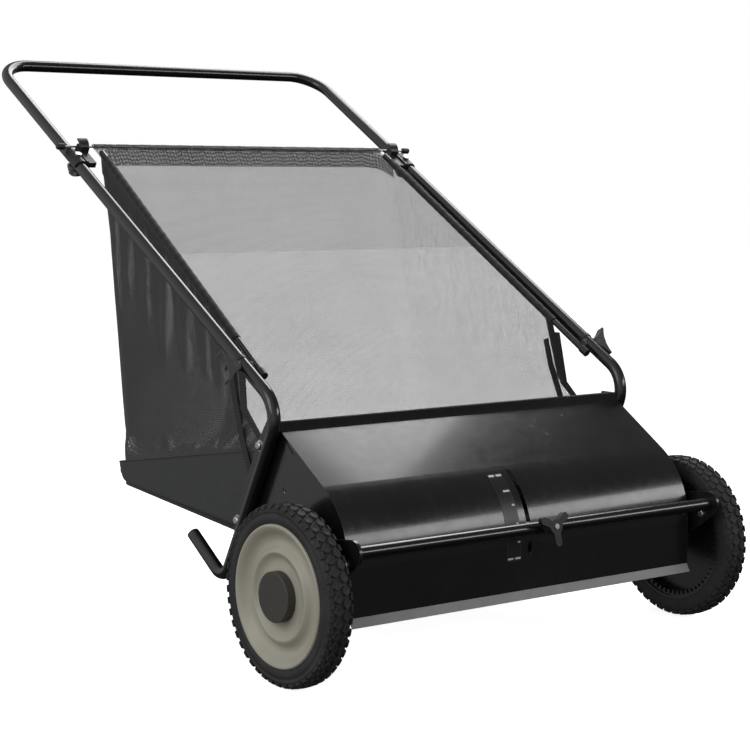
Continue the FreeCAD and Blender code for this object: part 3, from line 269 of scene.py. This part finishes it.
BLACK_PAINT = gloss_paint("housing_enamel", (0.0075, 0.0075, 0.0078), 0.2)
TUBE_PAINT = gloss_paint("tube_enamel", (0.0075, 0.0075, 0.008), 0.2)
ARM_PAINT = gloss_paint("arm_enamel", (0.009, 0.009, 0.0095), 0.26)
LIP = plastic("lip_grey", (0.33, 0.335, 0.345), 0.42, light=(0.6, 0.6, 0.6))
SCALE = plastic("scale_black", (0.018, 0.018, 0.02), 0.34)
TICK = plastic("tick_white", (0.75, 0.75, 0.74), 0.5, mottle=0.06, light=(0.85, 0.85, 0.85))
ZINC = metal("zinc_plate", (0.62, 0.63, 0.64), 0.3)
ROD_STEEL = metal("rod_steel", (0.5, 0.51, 0.52), 0.28, stretch=(0.03, 1, 1))
WIRE = metal("black_wire", (0.11, 0.11, 0.115), 0.42)
NYLON = plastic("nylon_grey", (0.045, 0.045, 0.047), 0.45)
GEAR = plastic("gear_ivory", (0.5, 0.48, 0.42), 0.4)
KNOB = plastic("knob_black", (0.016, 0.016, 0.017), 0.36, bump=0.35)
# Wing knobs: the same black plastic as the knobs, with a paler base colour as painted light where their
# faces catch the lamp.
WING_PAINTED_LIGHT = plastic("wing_painted_light", (0.075, 0.075, 0.077), 0.46, bump=0.35)
TYRE = rubber("tyre_black")
RIM = plastic("rim_black", (0.014, 0.014, 0.015), 0.28)
CREAM = plastic("cover_cream", (0.45, 0.43, 0.35), 0.33, grain=500, bump=0.12, mottle=0.07,
                light=(0.7, 0.69, 0.62), subsurface=0.12)
CAP = plastic("cap_umber", (0.058, 0.053, 0.046), 0.5, grain=420, bump=0.4)
BRISTLE = bristle_fibre("bristle_fibre")
MESH = mesh_cloth("hopper_net", (0.02, 0.02, 0.022), 0.2, 0.0016, 0.565)
HEM_NET = mesh_cloth("hem_net", (0.022, 0.022, 0.024), 0.25, 0.0013, 0.64)
HEM = woven("hem_tape", (0.008, 0.008, 0.009), 0.7, 0.0016, shine=0.25)
TRAY = woven("tray_vinyl", (0.018, 0.019, 0.021), 0.46, 0.0011, shine=0.12, bump=0.25, spread=1.6)
PIPING = woven("piping_cord", (0.008, 0.008, 0.009), 0.5, 0.002, shine=0.1)
STRAP = woven("strap_webbing", (0.007, 0.007, 0.008), 0.72, 0.0022, ribs=0.5, shine=0.2, bump=0.8,
              axes=(1, 2))

FINISH = {
    BLACK_PAINT: ["housing_cover", "side_plate_left", "side_plate_right"],
    TUBE_PAINT: ["leg_tube_left", "leg_tube_right", "handle_tube", "adjuster_bar", "hopper_side_rods"],
    ARM_PAINT: ["adjuster_arm_left", "adjuster_arm_right"],
    LIP: ["front_lip"],
    SCALE: ["height_scale"],
    ZINC: ["tie_rod_bolts", "arm_retaining_rings", "clip_bolts", "stub_axle_left",
           "stub_axle_right", "axle_retainers", "arm_bolts", "clamp_bolt", "clamp_pad", "brush_holders"],
    ROD_STEEL: ["upper_tie_rod", "lower_tie_rod", "brush_shaft", "hopper_top_rod"],
    WIRE: ["hopper_floor_frame"],
    NYLON: ["bearing_left", "bearing_right", "clamp_spacer", "brush_hubs", "shaft_spacers"],
    GEAR: ["pinion_left", "pinion_right"],
    KNOB: ["foot_plugs", "tube_joint_sleeves", "top_rod_nuts", "side_rod_caps", "rod_clip_left",
           "rod_clip_right", "adjuster_knob", "hopper_hooks"],
    WING_PAINTED_LIGHT: ["tube_joint_bolts", "joint_knob_left", "joint_knob_right", "clip_knob_left", "clip_knob_right"],
    STRAP: ["hopper_straps"],
    RIM: ["wheel_rim_left", "wheel_rim_right"],
    CREAM: ["wheel_cover_left", "wheel_cover_right"],
    CAP: ["hub_cap_left", "hub_cap_right"],
}


def set_material(obj, material):
    obj.data.materials.clear()
    obj.data.materials.append(material)


for material, names in FINISH.items():
    for name in names:
        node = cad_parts[name]
        if node.material_slots:
            for used in node.material_slots:
                used.material = material
        else:
            node.data.materials.append(material)


# ---------------------------------------------------------------- mesh helpers

def new_object(name, mesh, material):
    obj = bpy.data.objects.new(name, mesh)
    scene.collection.objects.link(obj)
    set_material(obj, material)
    return obj


def from_rows(name, rows, material, uv=None, loop_u=False):
    """Grid mesh through rows of points. uv gives (u, v) in metres for each row and column."""
    mesh = bpy.data.meshes.new(name)
    width = len(rows[0])
    points = [p for line in rows for p in line]
    faces = []
    columns = width if loop_u else width - 1
    for r in range(len(rows) - 1):
        for c in range(columns):
            d = (c + 1) % width
            faces.append((r * width + c, r * width + d, (r + 1) * width + d, (r + 1) * width + c))
    mesh.from_pydata([tuple(p) for p in points], [], faces)
    if uv:
        layer = mesh.uv_layers.new(name="UVMap")
        for loop in mesh.loops:
            r, c = divmod(loop.vertex_index, width)
            layer.data[loop.index].uv = uv(r, c)
    for face in mesh.polygons:
        face.use_smooth = True
    return new_object(name, mesh, material)


def apply_modifiers(obj):
    depsgraph = bpy.context.evaluated_depsgraph_get()
    baked = bpy.data.meshes.new_from_object(obj.evaluated_get(depsgraph))
    old = obj.data
    obj.modifiers.clear()
    obj.data = baked
    bpy.data.meshes.remove(old)
    return obj


def tube_along(name, points, radius, material):
    """Round cord, hem roll or wire through points, with its UV along the length in metres."""
    curve = bpy.data.curves.new(name, "CURVE")
    curve.dimensions = "3D"
    curve.bevel_depth = radius
    curve.bevel_resolution = 2
    curve.use_fill_caps = True
    spline = curve.splines.new("POLY")
    spline.points.add(len(points) - 1)
    for knot, point in zip(spline.points, points):
        knot.co = (*point, 1.0)
    holder = bpy.data.objects.new(name + "_line", curve)
    scene.collection.objects.link(holder)
    bpy.context.view_layer.update()
    mesh = bpy.data.meshes.new_from_object(holder.evaluated_get(bpy.context.evaluated_depsgraph_get()))
    bpy.data.objects.remove(holder)
    for face in mesh.polygons:
        face.use_smooth = True
    if not mesh.uv_layers:
        mesh.uv_layers.new(name="UVMap")
    return new_object(name, mesh, material)


def join(objects, name):
    meshes = bmesh.new()
    for obj in objects:
        meshes.from_mesh(obj.data)
    merged = bpy.data.meshes.new(name)
    meshes.to_mesh(merged)
    meshes.free()
    material = objects[0].data.materials[0]
    smooth_faces = [f.use_smooth for f in merged.polygons]
    for obj in objects:
        bpy.data.objects.remove(obj)
    result = new_object(name, merged, material)
    for face, flag in zip(result.data.polygons, smooth_faces):
        face.use_smooth = flag
    return result


# ---------------------------------------------------------------- tyres

TREAD_COUNT = 46
TYRE_INNER, TYRE_OUTER = 360.4, 399.4
TYRE_MIDDLE = (TYRE_INNER + TYRE_OUTER) / 2
GROOVE = 3.4


def tyre_surface(across):
    """Radius of the tread's top at a distance across from the middle of the tyre."""
    edge = abs(across)
    if edge <= 9:
        return 127.0 - 0.7 * (edge / 9) ** 2
    drop = edge - 9
    return 126.3 - 0.030 * drop ** 2.1


def wheel_point(side, x, radius, turn):
    return row(side * x, AXLE[0] + radius * math.cos(turn), AXLE[1] + radius * math.sin(turn))


def raised_block(mesh, side, outline, depth, shrink):
    """One tread block: outline of (across, turn) on the groove floor, narrowing to its top."""
    middle = (sum(p[0] for p in outline) / len(outline), sum(p[1] for p in outline) / len(outline))
    rings = []
    for scale, lift in ((1.0, -0.6), (shrink, depth - 0.5), (shrink - 0.07, depth)):
        ring = []
        for across, turn in outline:
            a = lerp(middle[0], across, scale)
            t = lerp(middle[1], turn, scale)
            radius = tyre_surface(a) - GROOVE + lift
            ring.append(mesh.verts.new(wheel_point(side, TYRE_MIDDLE + a, radius, t)))
        rings.append(ring)
    for low, high in zip(rings, rings[1:]):
        for k in range(len(outline)):
            j = (k + 1) % len(outline)
            mesh.faces.new((low[k], low[j], high[j], high[k]))
    top = rings[-1]
    hub_radius = tyre_surface(middle[0]) - GROOVE + depth - 0.9
    hub = mesh.verts.new(wheel_point(side, TYRE_MIDDLE + middle[0], hub_radius, middle[1]))
    for k in range(len(outline)):
        mesh.faces.new((top[k], top[(k + 1) % len(outline)], hub))


def make_tyre(side, label):
    profile = [(361.9, 98.9), (360.9, 101), (360.6, 106), (360.5, 112), (360.9, 117), (362.6, 119.6)]
    for k in range(-16, 17, 2):
        profile.append((TYRE_MIDDLE + k, tyre_surface(k) - GROOVE))
    profile += [(397.3, 119.8), (398.7, 117), (399.2, 115.2), (398.7, 114.7), (398.7, 111), (399.3, 110.4),
                (399.4, 106), (399.2, 102.4), (398.4, 100.8), (397.9, 98.9)]
    steps = 184
    rows = []
    for x, radius in profile:
        rows.append([wheel_point(side, x, radius, 2 * math.pi * k / steps) for k in range(steps)])
    body = from_rows("tyre_carcass_" + label, rows, TYRE, loop_u=True)
    blocks = bmesh.new()
    step = 2 * math.pi / TREAD_COUNT
    reach = step * 0.60
    for k in range(TREAD_COUNT):
        for lane, offset in ((6.9, 0.0), (-6.9, 0.5)):
            turn = step * (k + offset)
            hexagon = [(-6.0, -0.20), (-1.8, -0.48), (1.8, -0.48), (6.0, -0.20),
                       (6.0, 0.20), (1.8, 0.48), (-1.8, 0.48), (-6.0, 0.20)]
            shape = [(lane + a, turn + t * step * 0.92) for a, t in hexagon]
            raised_block(blocks, side, shape, GROOVE, 0.9)
        for edge in (1, -1):
            turn = step * (k + (0.5 if edge > 0 else 0.0))
            shape = [(edge * 13.9, turn - reach / 2), (edge * 19.2, turn - reach / 2),
                     (edge * 19.2, turn + reach / 2), (edge * 13.9, turn + reach / 2)]
            raised_block(blocks, side, shape, 3.3, 0.93)
    bmesh.ops.recalc_face_normals(blocks, faces=blocks.faces)
    mesh = bpy.data.meshes.new("tread_blocks_" + label)
    blocks.to_mesh(mesh)
    blocks.free()
    tread = new_object("tread_blocks_" + label, mesh, TYRE)
    tyre = join([body, tread], "tyre_skin_" + label)
    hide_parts("tyre_" + label)
    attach(tyre, "wheel_" + label)


make_tyre(-1, "left")
make_tyre(1, "right")


# ---------------------------------------------------------------- bristles

TUFTS = 104
BRUSH_LENGTH = 612
HOLDER_RADIUS = 43


def make_bristles():
    """Tufted bristle rows: each tuft fans out from its holder to the brush's reach."""
    rng = random.Random(7)
    fibres = bmesh.new()
    for strip in range(4):
        turn = math.radians(45 + 90 * strip)
        radial = Vector((0, -math.sin(turn), math.cos(turn)))
        sideways = Vector((0, math.cos(turn), math.sin(turn)))
        for tuft in range(TUFTS):
            x = -BRUSH_LENGTH / 2 + tuft * BRUSH_LENGTH / (TUFTS - 1)
            for lane in (-1.6, 1.6):
                for _ in range(7):
                    foot = Vector((x + rng.uniform(-1.5, 1.5), 0, 0))
                    foot += sideways * (lane + rng.uniform(-1, 1))
                    lean_x = rng.uniform(-3.2, 3.2)
                    lean = lane * 1.2 + rng.uniform(-5.0, 5.0)
                    reach = rng.uniform(109.5, 114.5)
                    foot += radial * HOLDER_RADIUS
                    tip = Vector((x + lean_x, 0, 0)) + sideways * (lane + lean) + radial * reach
                    belly = foot.lerp(tip, 0.55) + sideways * rng.uniform(-1.2, 1.2)
                    add_fibre(fibres, (foot, belly, tip), 0.42)
    mesh = bpy.data.meshes.new("brush_bristles")
    fibres.to_mesh(mesh)
    fibres.free()
    obj = new_object("brush_bristles", mesh, BRISTLE)
    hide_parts("bristle_strips")
    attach(obj, "brush")


def add_fibre(fibres, spine, radius):
    """Three-sided fibre through three points, thinner towards its tip."""
    rings = []
    for k, point in enumerate(spine):
        ring = []
        for turn in (0, 2.094, 4.189):
            size = radius * (1 - 0.35 * k / 2)
            off = Vector((math.cos(turn) * size, math.sin(turn) * size * 0.7, math.sin(turn) * size * 0.7))
            p = point + off
            ring.append(fibres.verts.new(row(p.x, BRUSH[0] + p.y, BRUSH[1] + p.z)))
        rings.append(ring)
    for low, high in zip(rings, rings[1:]):
        for k in range(3):
            fibres.faces.new((low[k], low[(k + 1) % 3], high[(k + 1) % 3], high[k]))
    fibres.faces.new(rings[-1])


make_bristles()


# ---------------------------------------------------------------- height scale ticks

def make_ticks():
    skin = 128.55

    def on_nose(x, level):
        """Point on the strip at a height: on the straight panel below the shaft, on the nose above."""
        if level <= BRUSH[1]:
            return row(x, BRUSH[0] - skin, level)
        lift = math.asin((level - BRUSH[1]) / skin)
        return row(x, BRUSH[0] - skin * math.cos(lift), level)

    marks = []
    for level in (261.5, 146.5):
        marks += [(-42.5, -32.5, level), (-29.0, -18.5, level)]
    for level, start in ((241.0, -31.0), (222.0, -24.0), (196.0, -24.0), (170.0, -24.0)):
        marks.append((start, -19.0, level))
    parts = []
    for number, (x0, x1, level) in enumerate(marks):
        rows = []
        for j in range(3):
            z = level - 1.3 + 1.3 * j
            rows.append([on_nose(lerp(x0, x1, k / 4), z) for k in range(5)])
        parts.append(from_rows(f"tick_{number}", rows, TICK))
    ticks = join(parts, "scale_ticks")
    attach(ticks, "housing")


make_ticks()


# ---------------------------------------------------------------- hopper cloth

MOUTH_LOW, REAR_LOW, REAR_TOP = (207, 181), (548, 214), (665, 739)
FRONT_EDGE = [MOUTH_LOW, (150, 318), (196, 357), (222, 455)]
TRAY_REAR = [(531, 212.4), (555, 234)]
HALF_LOW, HALF_TOP = 324.0, 294.0
ROD = (667.0, 741.2)
SIDE_ROD = [Vector((315.5, 148.4, 409.3)), Vector((289.0, 646.0, 731.9))]


def above_floor(y, z):
    """Distance of a (y, z) point above the line of the hopper's floor."""
    back = REAR_LOW[0] - MOUTH_LOW[0]
    rise = REAR_LOW[1] - MOUTH_LOW[1]
    return (back * (z - MOUTH_LOW[1]) - rise * (y - MOUTH_LOW[0])) / math.hypot(back, rise)


def half_width(y, z):
    return HALF_LOW - (HALF_LOW - HALF_TOP) * above_floor(y, z) / above_floor(*REAR_TOP)


def seam_z(y):
    return lerp(312.0, 242.0, (y - 100) / 460)


def along_path(path, share):
    """Point at a share of a path's length."""
    path = [Vector(p) for p in path]
    runs = [(q - p).length for p, q in zip(path, path[1:])]
    way = share * sum(runs)
    for p, q, run in zip(path, path[1:], runs):
        if way <= run:
            return p.lerp(q, way / run)
        way -= run
    return path[-1]


def ring_line(front, rear, inset, corner, count):
    """Points round the hopper: near side, rear panel, far side, with round corners."""
    xf = half_width(*front) - inset
    xr = half_width(*rear) - inset
    rear_in = rear - Vector((inset, 0))
    path = [Vector((-xf, *front)), Vector((-xr, *rear_in)), Vector((xr, *rear_in)), Vector((xf, *front))]
    rounded = [path[0]]
    for k in (1, 2):
        p, q, s = path[k - 1], path[k], path[k + 1]
        a = q + (p - q).normalized() * corner
        b = q + (s - q).normalized() * corner
        for j in range(9):
            t = j / 8
            rounded.append(a * (1 - t) ** 2 + q * 2 * t * (1 - t) + b * t * t)
    rounded.append(path[3])
    return resample(rounded, count)


def wall_line(v, inset, corner, count):
    return ring_line(along_path(FRONT_EDGE, v), along_path([REAR_LOW, REAR_TOP], v), inset, corner, count)


def resample(points, count):
    runs = [0.0]
    for p, q in zip(points, points[1:]):
        runs.append(runs[-1] + (q - p).length)
    result = []
    k = 0
    for j in range(count):
        want = runs[-1] * j / (count - 1)
        while k < len(runs) - 2 and runs[k + 1] < want:
            k += 1
        span = runs[k + 1] - runs[k]
        result.append(points[k].lerp(points[k + 1], (want - runs[k]) / span if span else 0))
    return result


def seam_level(column):
    """Level v at which a column of the wall crosses the seam between tray and mesh."""
    low, high = 0.0, 1.0
    for _ in range(26):
        v = (low + high) / 2
        p = column(v)
        if p.z < seam_z(p.y):
            low = v
        else:
            high = v
    return low


COLUMNS = 161
LEVELS = 64
INSET = 1.6
raw = [wall_line(k / LEVELS, INSET, 38.0, COLUMNS) for k in range(LEVELS + 1)]


def wall_point(c, v):
    where = v * LEVELS
    k = min(LEVELS - 1, int(where))
    return raw[k][c].lerp(raw[k + 1][c], where - k)


seams = [seam_level(lambda v, c=c: wall_point(c, v)) for c in range(COLUMNS)]


def wall_rows(low_of, high_of, count):
    rows = []
    for r in range(count):
        rows.append([wall_point(c, lerp(low_of(c), high_of(c), r / (count - 1))) for c in range(COLUMNS)])
    return rows


def metres(rows):
    return [[row(*p) for p in line] for line in rows]


def flat_uv(rows):
    """UV in metres: distance along the middle row and up the middle column."""
    middle = rows[len(rows) // 2]
    across = [0.0]
    for p, q in zip(middle, middle[1:]):
        across.append(across[-1] + (q - p).length)
    up = [0.0]
    centre = len(middle) // 2
    for low, high in zip(rows, rows[1:]):
        up.append(up[-1] + (high[centre] - low[centre]).length)
    return lambda r, c: (across[c], up[r])


def simulate(obj, pinned, frames, slack, limit):
    """Cloth simulation with pinned vertices; no point may move further than limit."""
    rest = [v.co.copy() for v in obj.data.vertices]
    group = obj.vertex_groups.new(name="pin")
    for index, weight in pinned.items():
        group.add([index], weight, "REPLACE")
    rng = random.Random(3)
    ripple = [rng.uniform(-0.0004, 0.0004) for _ in rest]
    for vertex, shift in zip(obj.data.vertices, ripple):
        if vertex.index not in pinned:
            vertex.co += Vector((shift, shift, 0))
    cloth = obj.modifiers.new("Cloth", "CLOTH")
    s = cloth.settings
    s.quality = 6
    s.mass = 0.18
    s.tension_stiffness = 40
    s.compression_stiffness = 30
    s.shear_stiffness = 18
    s.bending_stiffness = 0.25
    s.air_damping = 1.5
    s.vertex_group_mass = "pin"
    s.pin_stiffness = 1.0
    s.shrink_min = -slack
    cloth.collision_settings.use_collision = False
    cloth.collision_settings.use_self_collision = False
    cloth.point_cache.frame_start = 1
    cloth.point_cache.frame_end = frames
    for number in range(1, frames + 1):
        scene.frame_set(number)
    apply_modifiers(obj)
    scene.frame_set(1)
    for vertex, home in zip(obj.data.vertices, rest):
        moved = vertex.co - home
        if moved.length > limit:
            vertex.co = home + moved * (limit / moved.length)


def pin_border(rows, columns):
    pinned = {}
    for r in range(rows):
        for c in range(columns):
            if r in (0, rows - 1) or c in (0, columns - 1):
                pinned[r * columns + c] = 1.0
    return pinned


def subdivide(obj):
    modifier = obj.modifiers.new("Smooth", "SUBSURF")
    modifier.levels = 1
    modifier.render_levels = 1
    apply_modifiers(obj)


def band(name, lines, material, thickness):
    """Doubled strip of cloth through lines of points, its thickness in metres."""
    rows = [[p.copy() for p in line] for line in lines]
    obj = from_rows(name, rows, material, uv=flat_uv(rows))
    solid = obj.modifiers.new("Thick", "SOLIDIFY")
    solid.thickness = thickness
    solid.offset = 0.0
    return apply_modifiers(obj)


WALL_ROWS = 56
wall_raw = wall_rows(lambda c: seams[c], lambda c: 1.0, WALL_ROWS)
walls = from_rows("hopper_net_walls", metres(wall_raw), MESH, uv=flat_uv(metres(wall_raw)))
simulate(walls, pin_border(WALL_ROWS, COLUMNS), 26, 0.003, 0.007)

TRAY_ROWS = 14


def crossing(path):
    """Point where a (y, z) line rises through the seam."""
    low, high = 0.0, 1.0
    for _ in range(30):
        share = (low + high) / 2
        point = along_path(path, share)
        low, high = (share, high) if point.y < seam_z(point.x) else (low, share)
    return along_path(path, low)


def tray_lines():
    """Tray walls: a rounded toe at the rear and tighter corners than the mesh; the lip at the seam is
    added after.
    """
    front_seam = crossing(FRONT_EDGE[:2])
    rear_seam = crossing([TRAY_REAR[1], REAR_TOP])
    rear_path = [TRAY_REAR[0], (543.5, 217.5), (552, 226), TRAY_REAR[1], rear_seam]
    lines = []
    for r in range(TRAY_ROWS):
        v = r / (TRAY_ROWS - 1)
        front = along_path([MOUTH_LOW, front_seam], v)
        lines.append(ring_line(front, along_path(rear_path, v), INSET, 12.0, COLUMNS))
    return lines


tray_raw = tray_lines()
tray_rim = tray_raw[-1]
shelf = [p.lerp(q, 0.5) + Vector((0, 0, 1.0)) for p, q in zip(tray_rim, wall_raw[0])]
tray_raw += [shelf, wall_raw[0]]
tray_wall = from_rows("tray_walls", metres(tray_raw), TRAY, uv=flat_uv(metres(tray_raw)))


def tray_floor():
    """Floor of the tray: fills the wall's lowest line, sagging slightly between its edges."""
    rim = [p.copy() for p in tray_raw[0]]
    half = COLUMNS // 2
    lines = []
    for k in range(half + 1):
        a, b = rim[k], rim[COLUMNS - 1 - k]
        line = []
        for j in range(41):
            t = j / 40
            p = a.lerp(b, t)
            p.z -= 2.2 * math.sin(math.pi * t) * math.sin(math.pi * k / half)
            line.append(p)
        lines.append(line)
    return lines


floor_rows = metres(tray_floor())
tray_bottom = from_rows("tray_bottom", floor_rows, TRAY, uv=flat_uv(floor_rows))
tray_sheet = join([tray_wall, tray_bottom], "hopper_tray_cloth")
merge = bmesh.new()
merge.from_mesh(tray_sheet.data)
bmesh.ops.remove_doubles(merge, verts=merge.verts, dist=0.0002)
merge.to_mesh(tray_sheet.data)
merge.free()

# hems: bottom seam tape, top hem with its casing round the rod, side hems and front edge tape
subdivide(walls)
seam_band = tube_along("seam_tape", metres([tray_rim])[0], 0.0013, HEM)
piping = tube_along("tray_piping", metres([tray_raw[0]])[0], 0.0024, PIPING)


def wall_point_soft(c, v):
    k = min(COLUMNS - 2, int(c))
    return wall_point(k, v).lerp(wall_point(k + 1, v), c - k)


HEM_START = 0.947


def top_hem():
    """Doubled hem above the rear panel: it rises to the rod, wraps it and hangs in shallow scallops."""
    corner = [c for c in range(COLUMNS) if wall_raw[-1][c].y > REAR_TOP[0] - 40]
    first, last = corner[0], corner[-1]
    lines = []
    count = 121
    for level in range(15):
        line = []
        for k in range(count):
            t = k / (count - 1)
            c = lerp(first, last, t)
            low = wall_point_soft(c, HEM_START)
            high = wall_point_soft(c, 1.0)
            wave = 0.6 * math.sin(k * 0.9) + 0.5 * math.sin(k * 2.3 + 1.0)
            if level <= 8:
                s = level / 8
                p = low.lerp(high, s)
                p.y += 1.9 + wave * 0.5
                p.z += wave * 0.4
            else:
                turn = math.radians(lerp(-20, 235, (level - 8) / 6))
                reach = 4.9 + 0.25 * wave
                p = Vector((high.x, ROD[0] + reach * math.cos(turn), ROD[1] + reach * math.sin(turn)))
            line.append(p)
        lines.append(line)
    rows = metres(lines)
    return from_rows("top_hem_tape", rows, HEM_NET, uv=flat_uv(rows))


hem_top = top_hem()


def side_hem(side):
    """Casing that wraps the rod along a side panel's sloping top edge, slightly puckered."""
    low, high = [Vector((side * p.x, p.y, p.z)) for p in SIDE_ROD]
    run = (high - low).normalized()
    start, end = low + run * 89, high - run * 20
    lines = []
    count = 150
    for k in range(count):
        centre = start.lerp(end, k / (count - 1))
        reach = 6.2 + 0.28 * math.sin(k * 1.1) + 0.22 * math.sin(k * 2.7 + side)
        line = []
        for j in range(13):
            turn = 2 * math.pi * j / 12
            line.append(row(centre.x + reach * math.cos(turn), centre.y - reach * math.sin(turn) * run.z,
                            centre.z + reach * math.sin(turn) * run.y))
        lines.append(line)
    return from_rows(f"side_hem_{'left' if side < 0 else 'right'}", lines, HEM, uv=flat_uv(lines))


def front_hem(side):
    """Doubled hem down the free front edge of a side panel."""
    c0 = 0 if side < 0 else COLUMNS - 1
    step = 1 if side < 0 else -1
    lines = []
    for k in range(3):
        c = c0 + step * k
        lines.append([row(*(wall_point(c, lerp(seams[c], 1.0, r / 40)) + Vector((side * 1.0, 0, 0))))
                      for r in range(41)])
    return band(f"front_hem_{'left' if side < 0 else 'right'}", lines, HEM, 0.0016)


hems = [seam_band, hem_top, side_hem(-1), side_hem(1), front_hem(-1), front_hem(1)]

for piece, slot_name in [(walls, "mesh_cloth"), (tray_sheet, "tray_vinyl"), (piping, "webbing")] + [
        (hem, "webbing") for hem in hems]:
    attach(piece, "hopper")
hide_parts("hopper_mesh")
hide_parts("hopper_tray")


# ---------------------------------------------------------------- floor and studio light

def make_stage():
    mesh = bpy.data.meshes.new("studio_floor")
    r = 14.0
    mesh.from_pydata([(-r, -r, 0), (r, -r, 0), (r, r, 0), (-r, r, 0)], [], [(0, 1, 2, 3)])
    n = Nodes("studio_white")
    tone = n.ramp(n.noise(1.5, 2.0, 0.5), 0.3, 0.7, 0.86, 0.9)
    colour = n.node("ShaderNodeCombineColor", {0: tone, 1: tone, 2: tone}).outputs[0]
    n.principled(Base_Color=colour, Roughness=0.9, Specular_IOR_Level=0.1, Emission_Color=colour,
                 Emission_Strength=1.0)
    floor = new_object("studio_floor", mesh, n.material)
    floor.visible_glossy = False
    floor.visible_diffuse = False


make_stage()


ROOM_LEFT, ROOM_RIGHT = 0.62, 0.12


def make_world():
    """White backdrop for the eye; as light it is a dim room, paler to the left, dark below."""
    world = bpy.data.worlds.new("studio")
    scene.world = world
    world.use_nodes = True
    n = Nodes.__new__(Nodes)
    n.tree = world.node_tree
    n.shader = n.tree.nodes["Background"]
    n.output = n.tree.nodes["World Output"]
    split = n.node("ShaderNodeSeparateXYZ", {0: n.place("Generated")})
    side = n.ramp(split.outputs[0], -0.7, 0.45, ROOM_LEFT, ROOM_RIGHT)
    level = n.ramp(split.outputs[2], -0.35, -0.02, 0.12, 1.0)
    room = n.math("MULTIPLY", side, level)
    seen = n.node("ShaderNodeLightPath").outputs["Is Camera Ray"]
    strength = n.node("ShaderNodeMix", data_type="FLOAT")
    n.put(strength.inputs[0], seen)
    n.put(strength.inputs[2], room)
    n.put(strength.inputs[3], 1.0)
    n.put(n.shader.inputs[0], (1.0, 1.0, 1.0))
    n.put(n.shader.inputs[1], strength.outputs[0])


make_world()


def softbox(name, place, target, width, height, power):
    light = bpy.data.lights.new(name, "AREA")
    light.shape = "RECTANGLE"
    light.size = width
    light.size_y = height
    light.energy = power
    obj = bpy.data.objects.new(name, light)
    scene.collection.objects.link(obj)
    obj.location = place
    aim = Vector(target) - Vector(place)
    obj.rotation_euler = aim.to_track_quat("-Z", "Y").to_euler()


softbox("overhead", (0.95, 0.75, 1.75), (0.1, -0.1, 0.35), 1.5, 1.1, 20)
softbox("strip", (2.0, -2.55, 1.2), (0, -0.4, 0.25), 2.6, 0.6, 21)
softbox("side", (-2.6, -0.6, 1.5), (0, -0.2, 0.3), 1.6, 1.6, 14)
scene.view_settings.view_transform = "Standard"
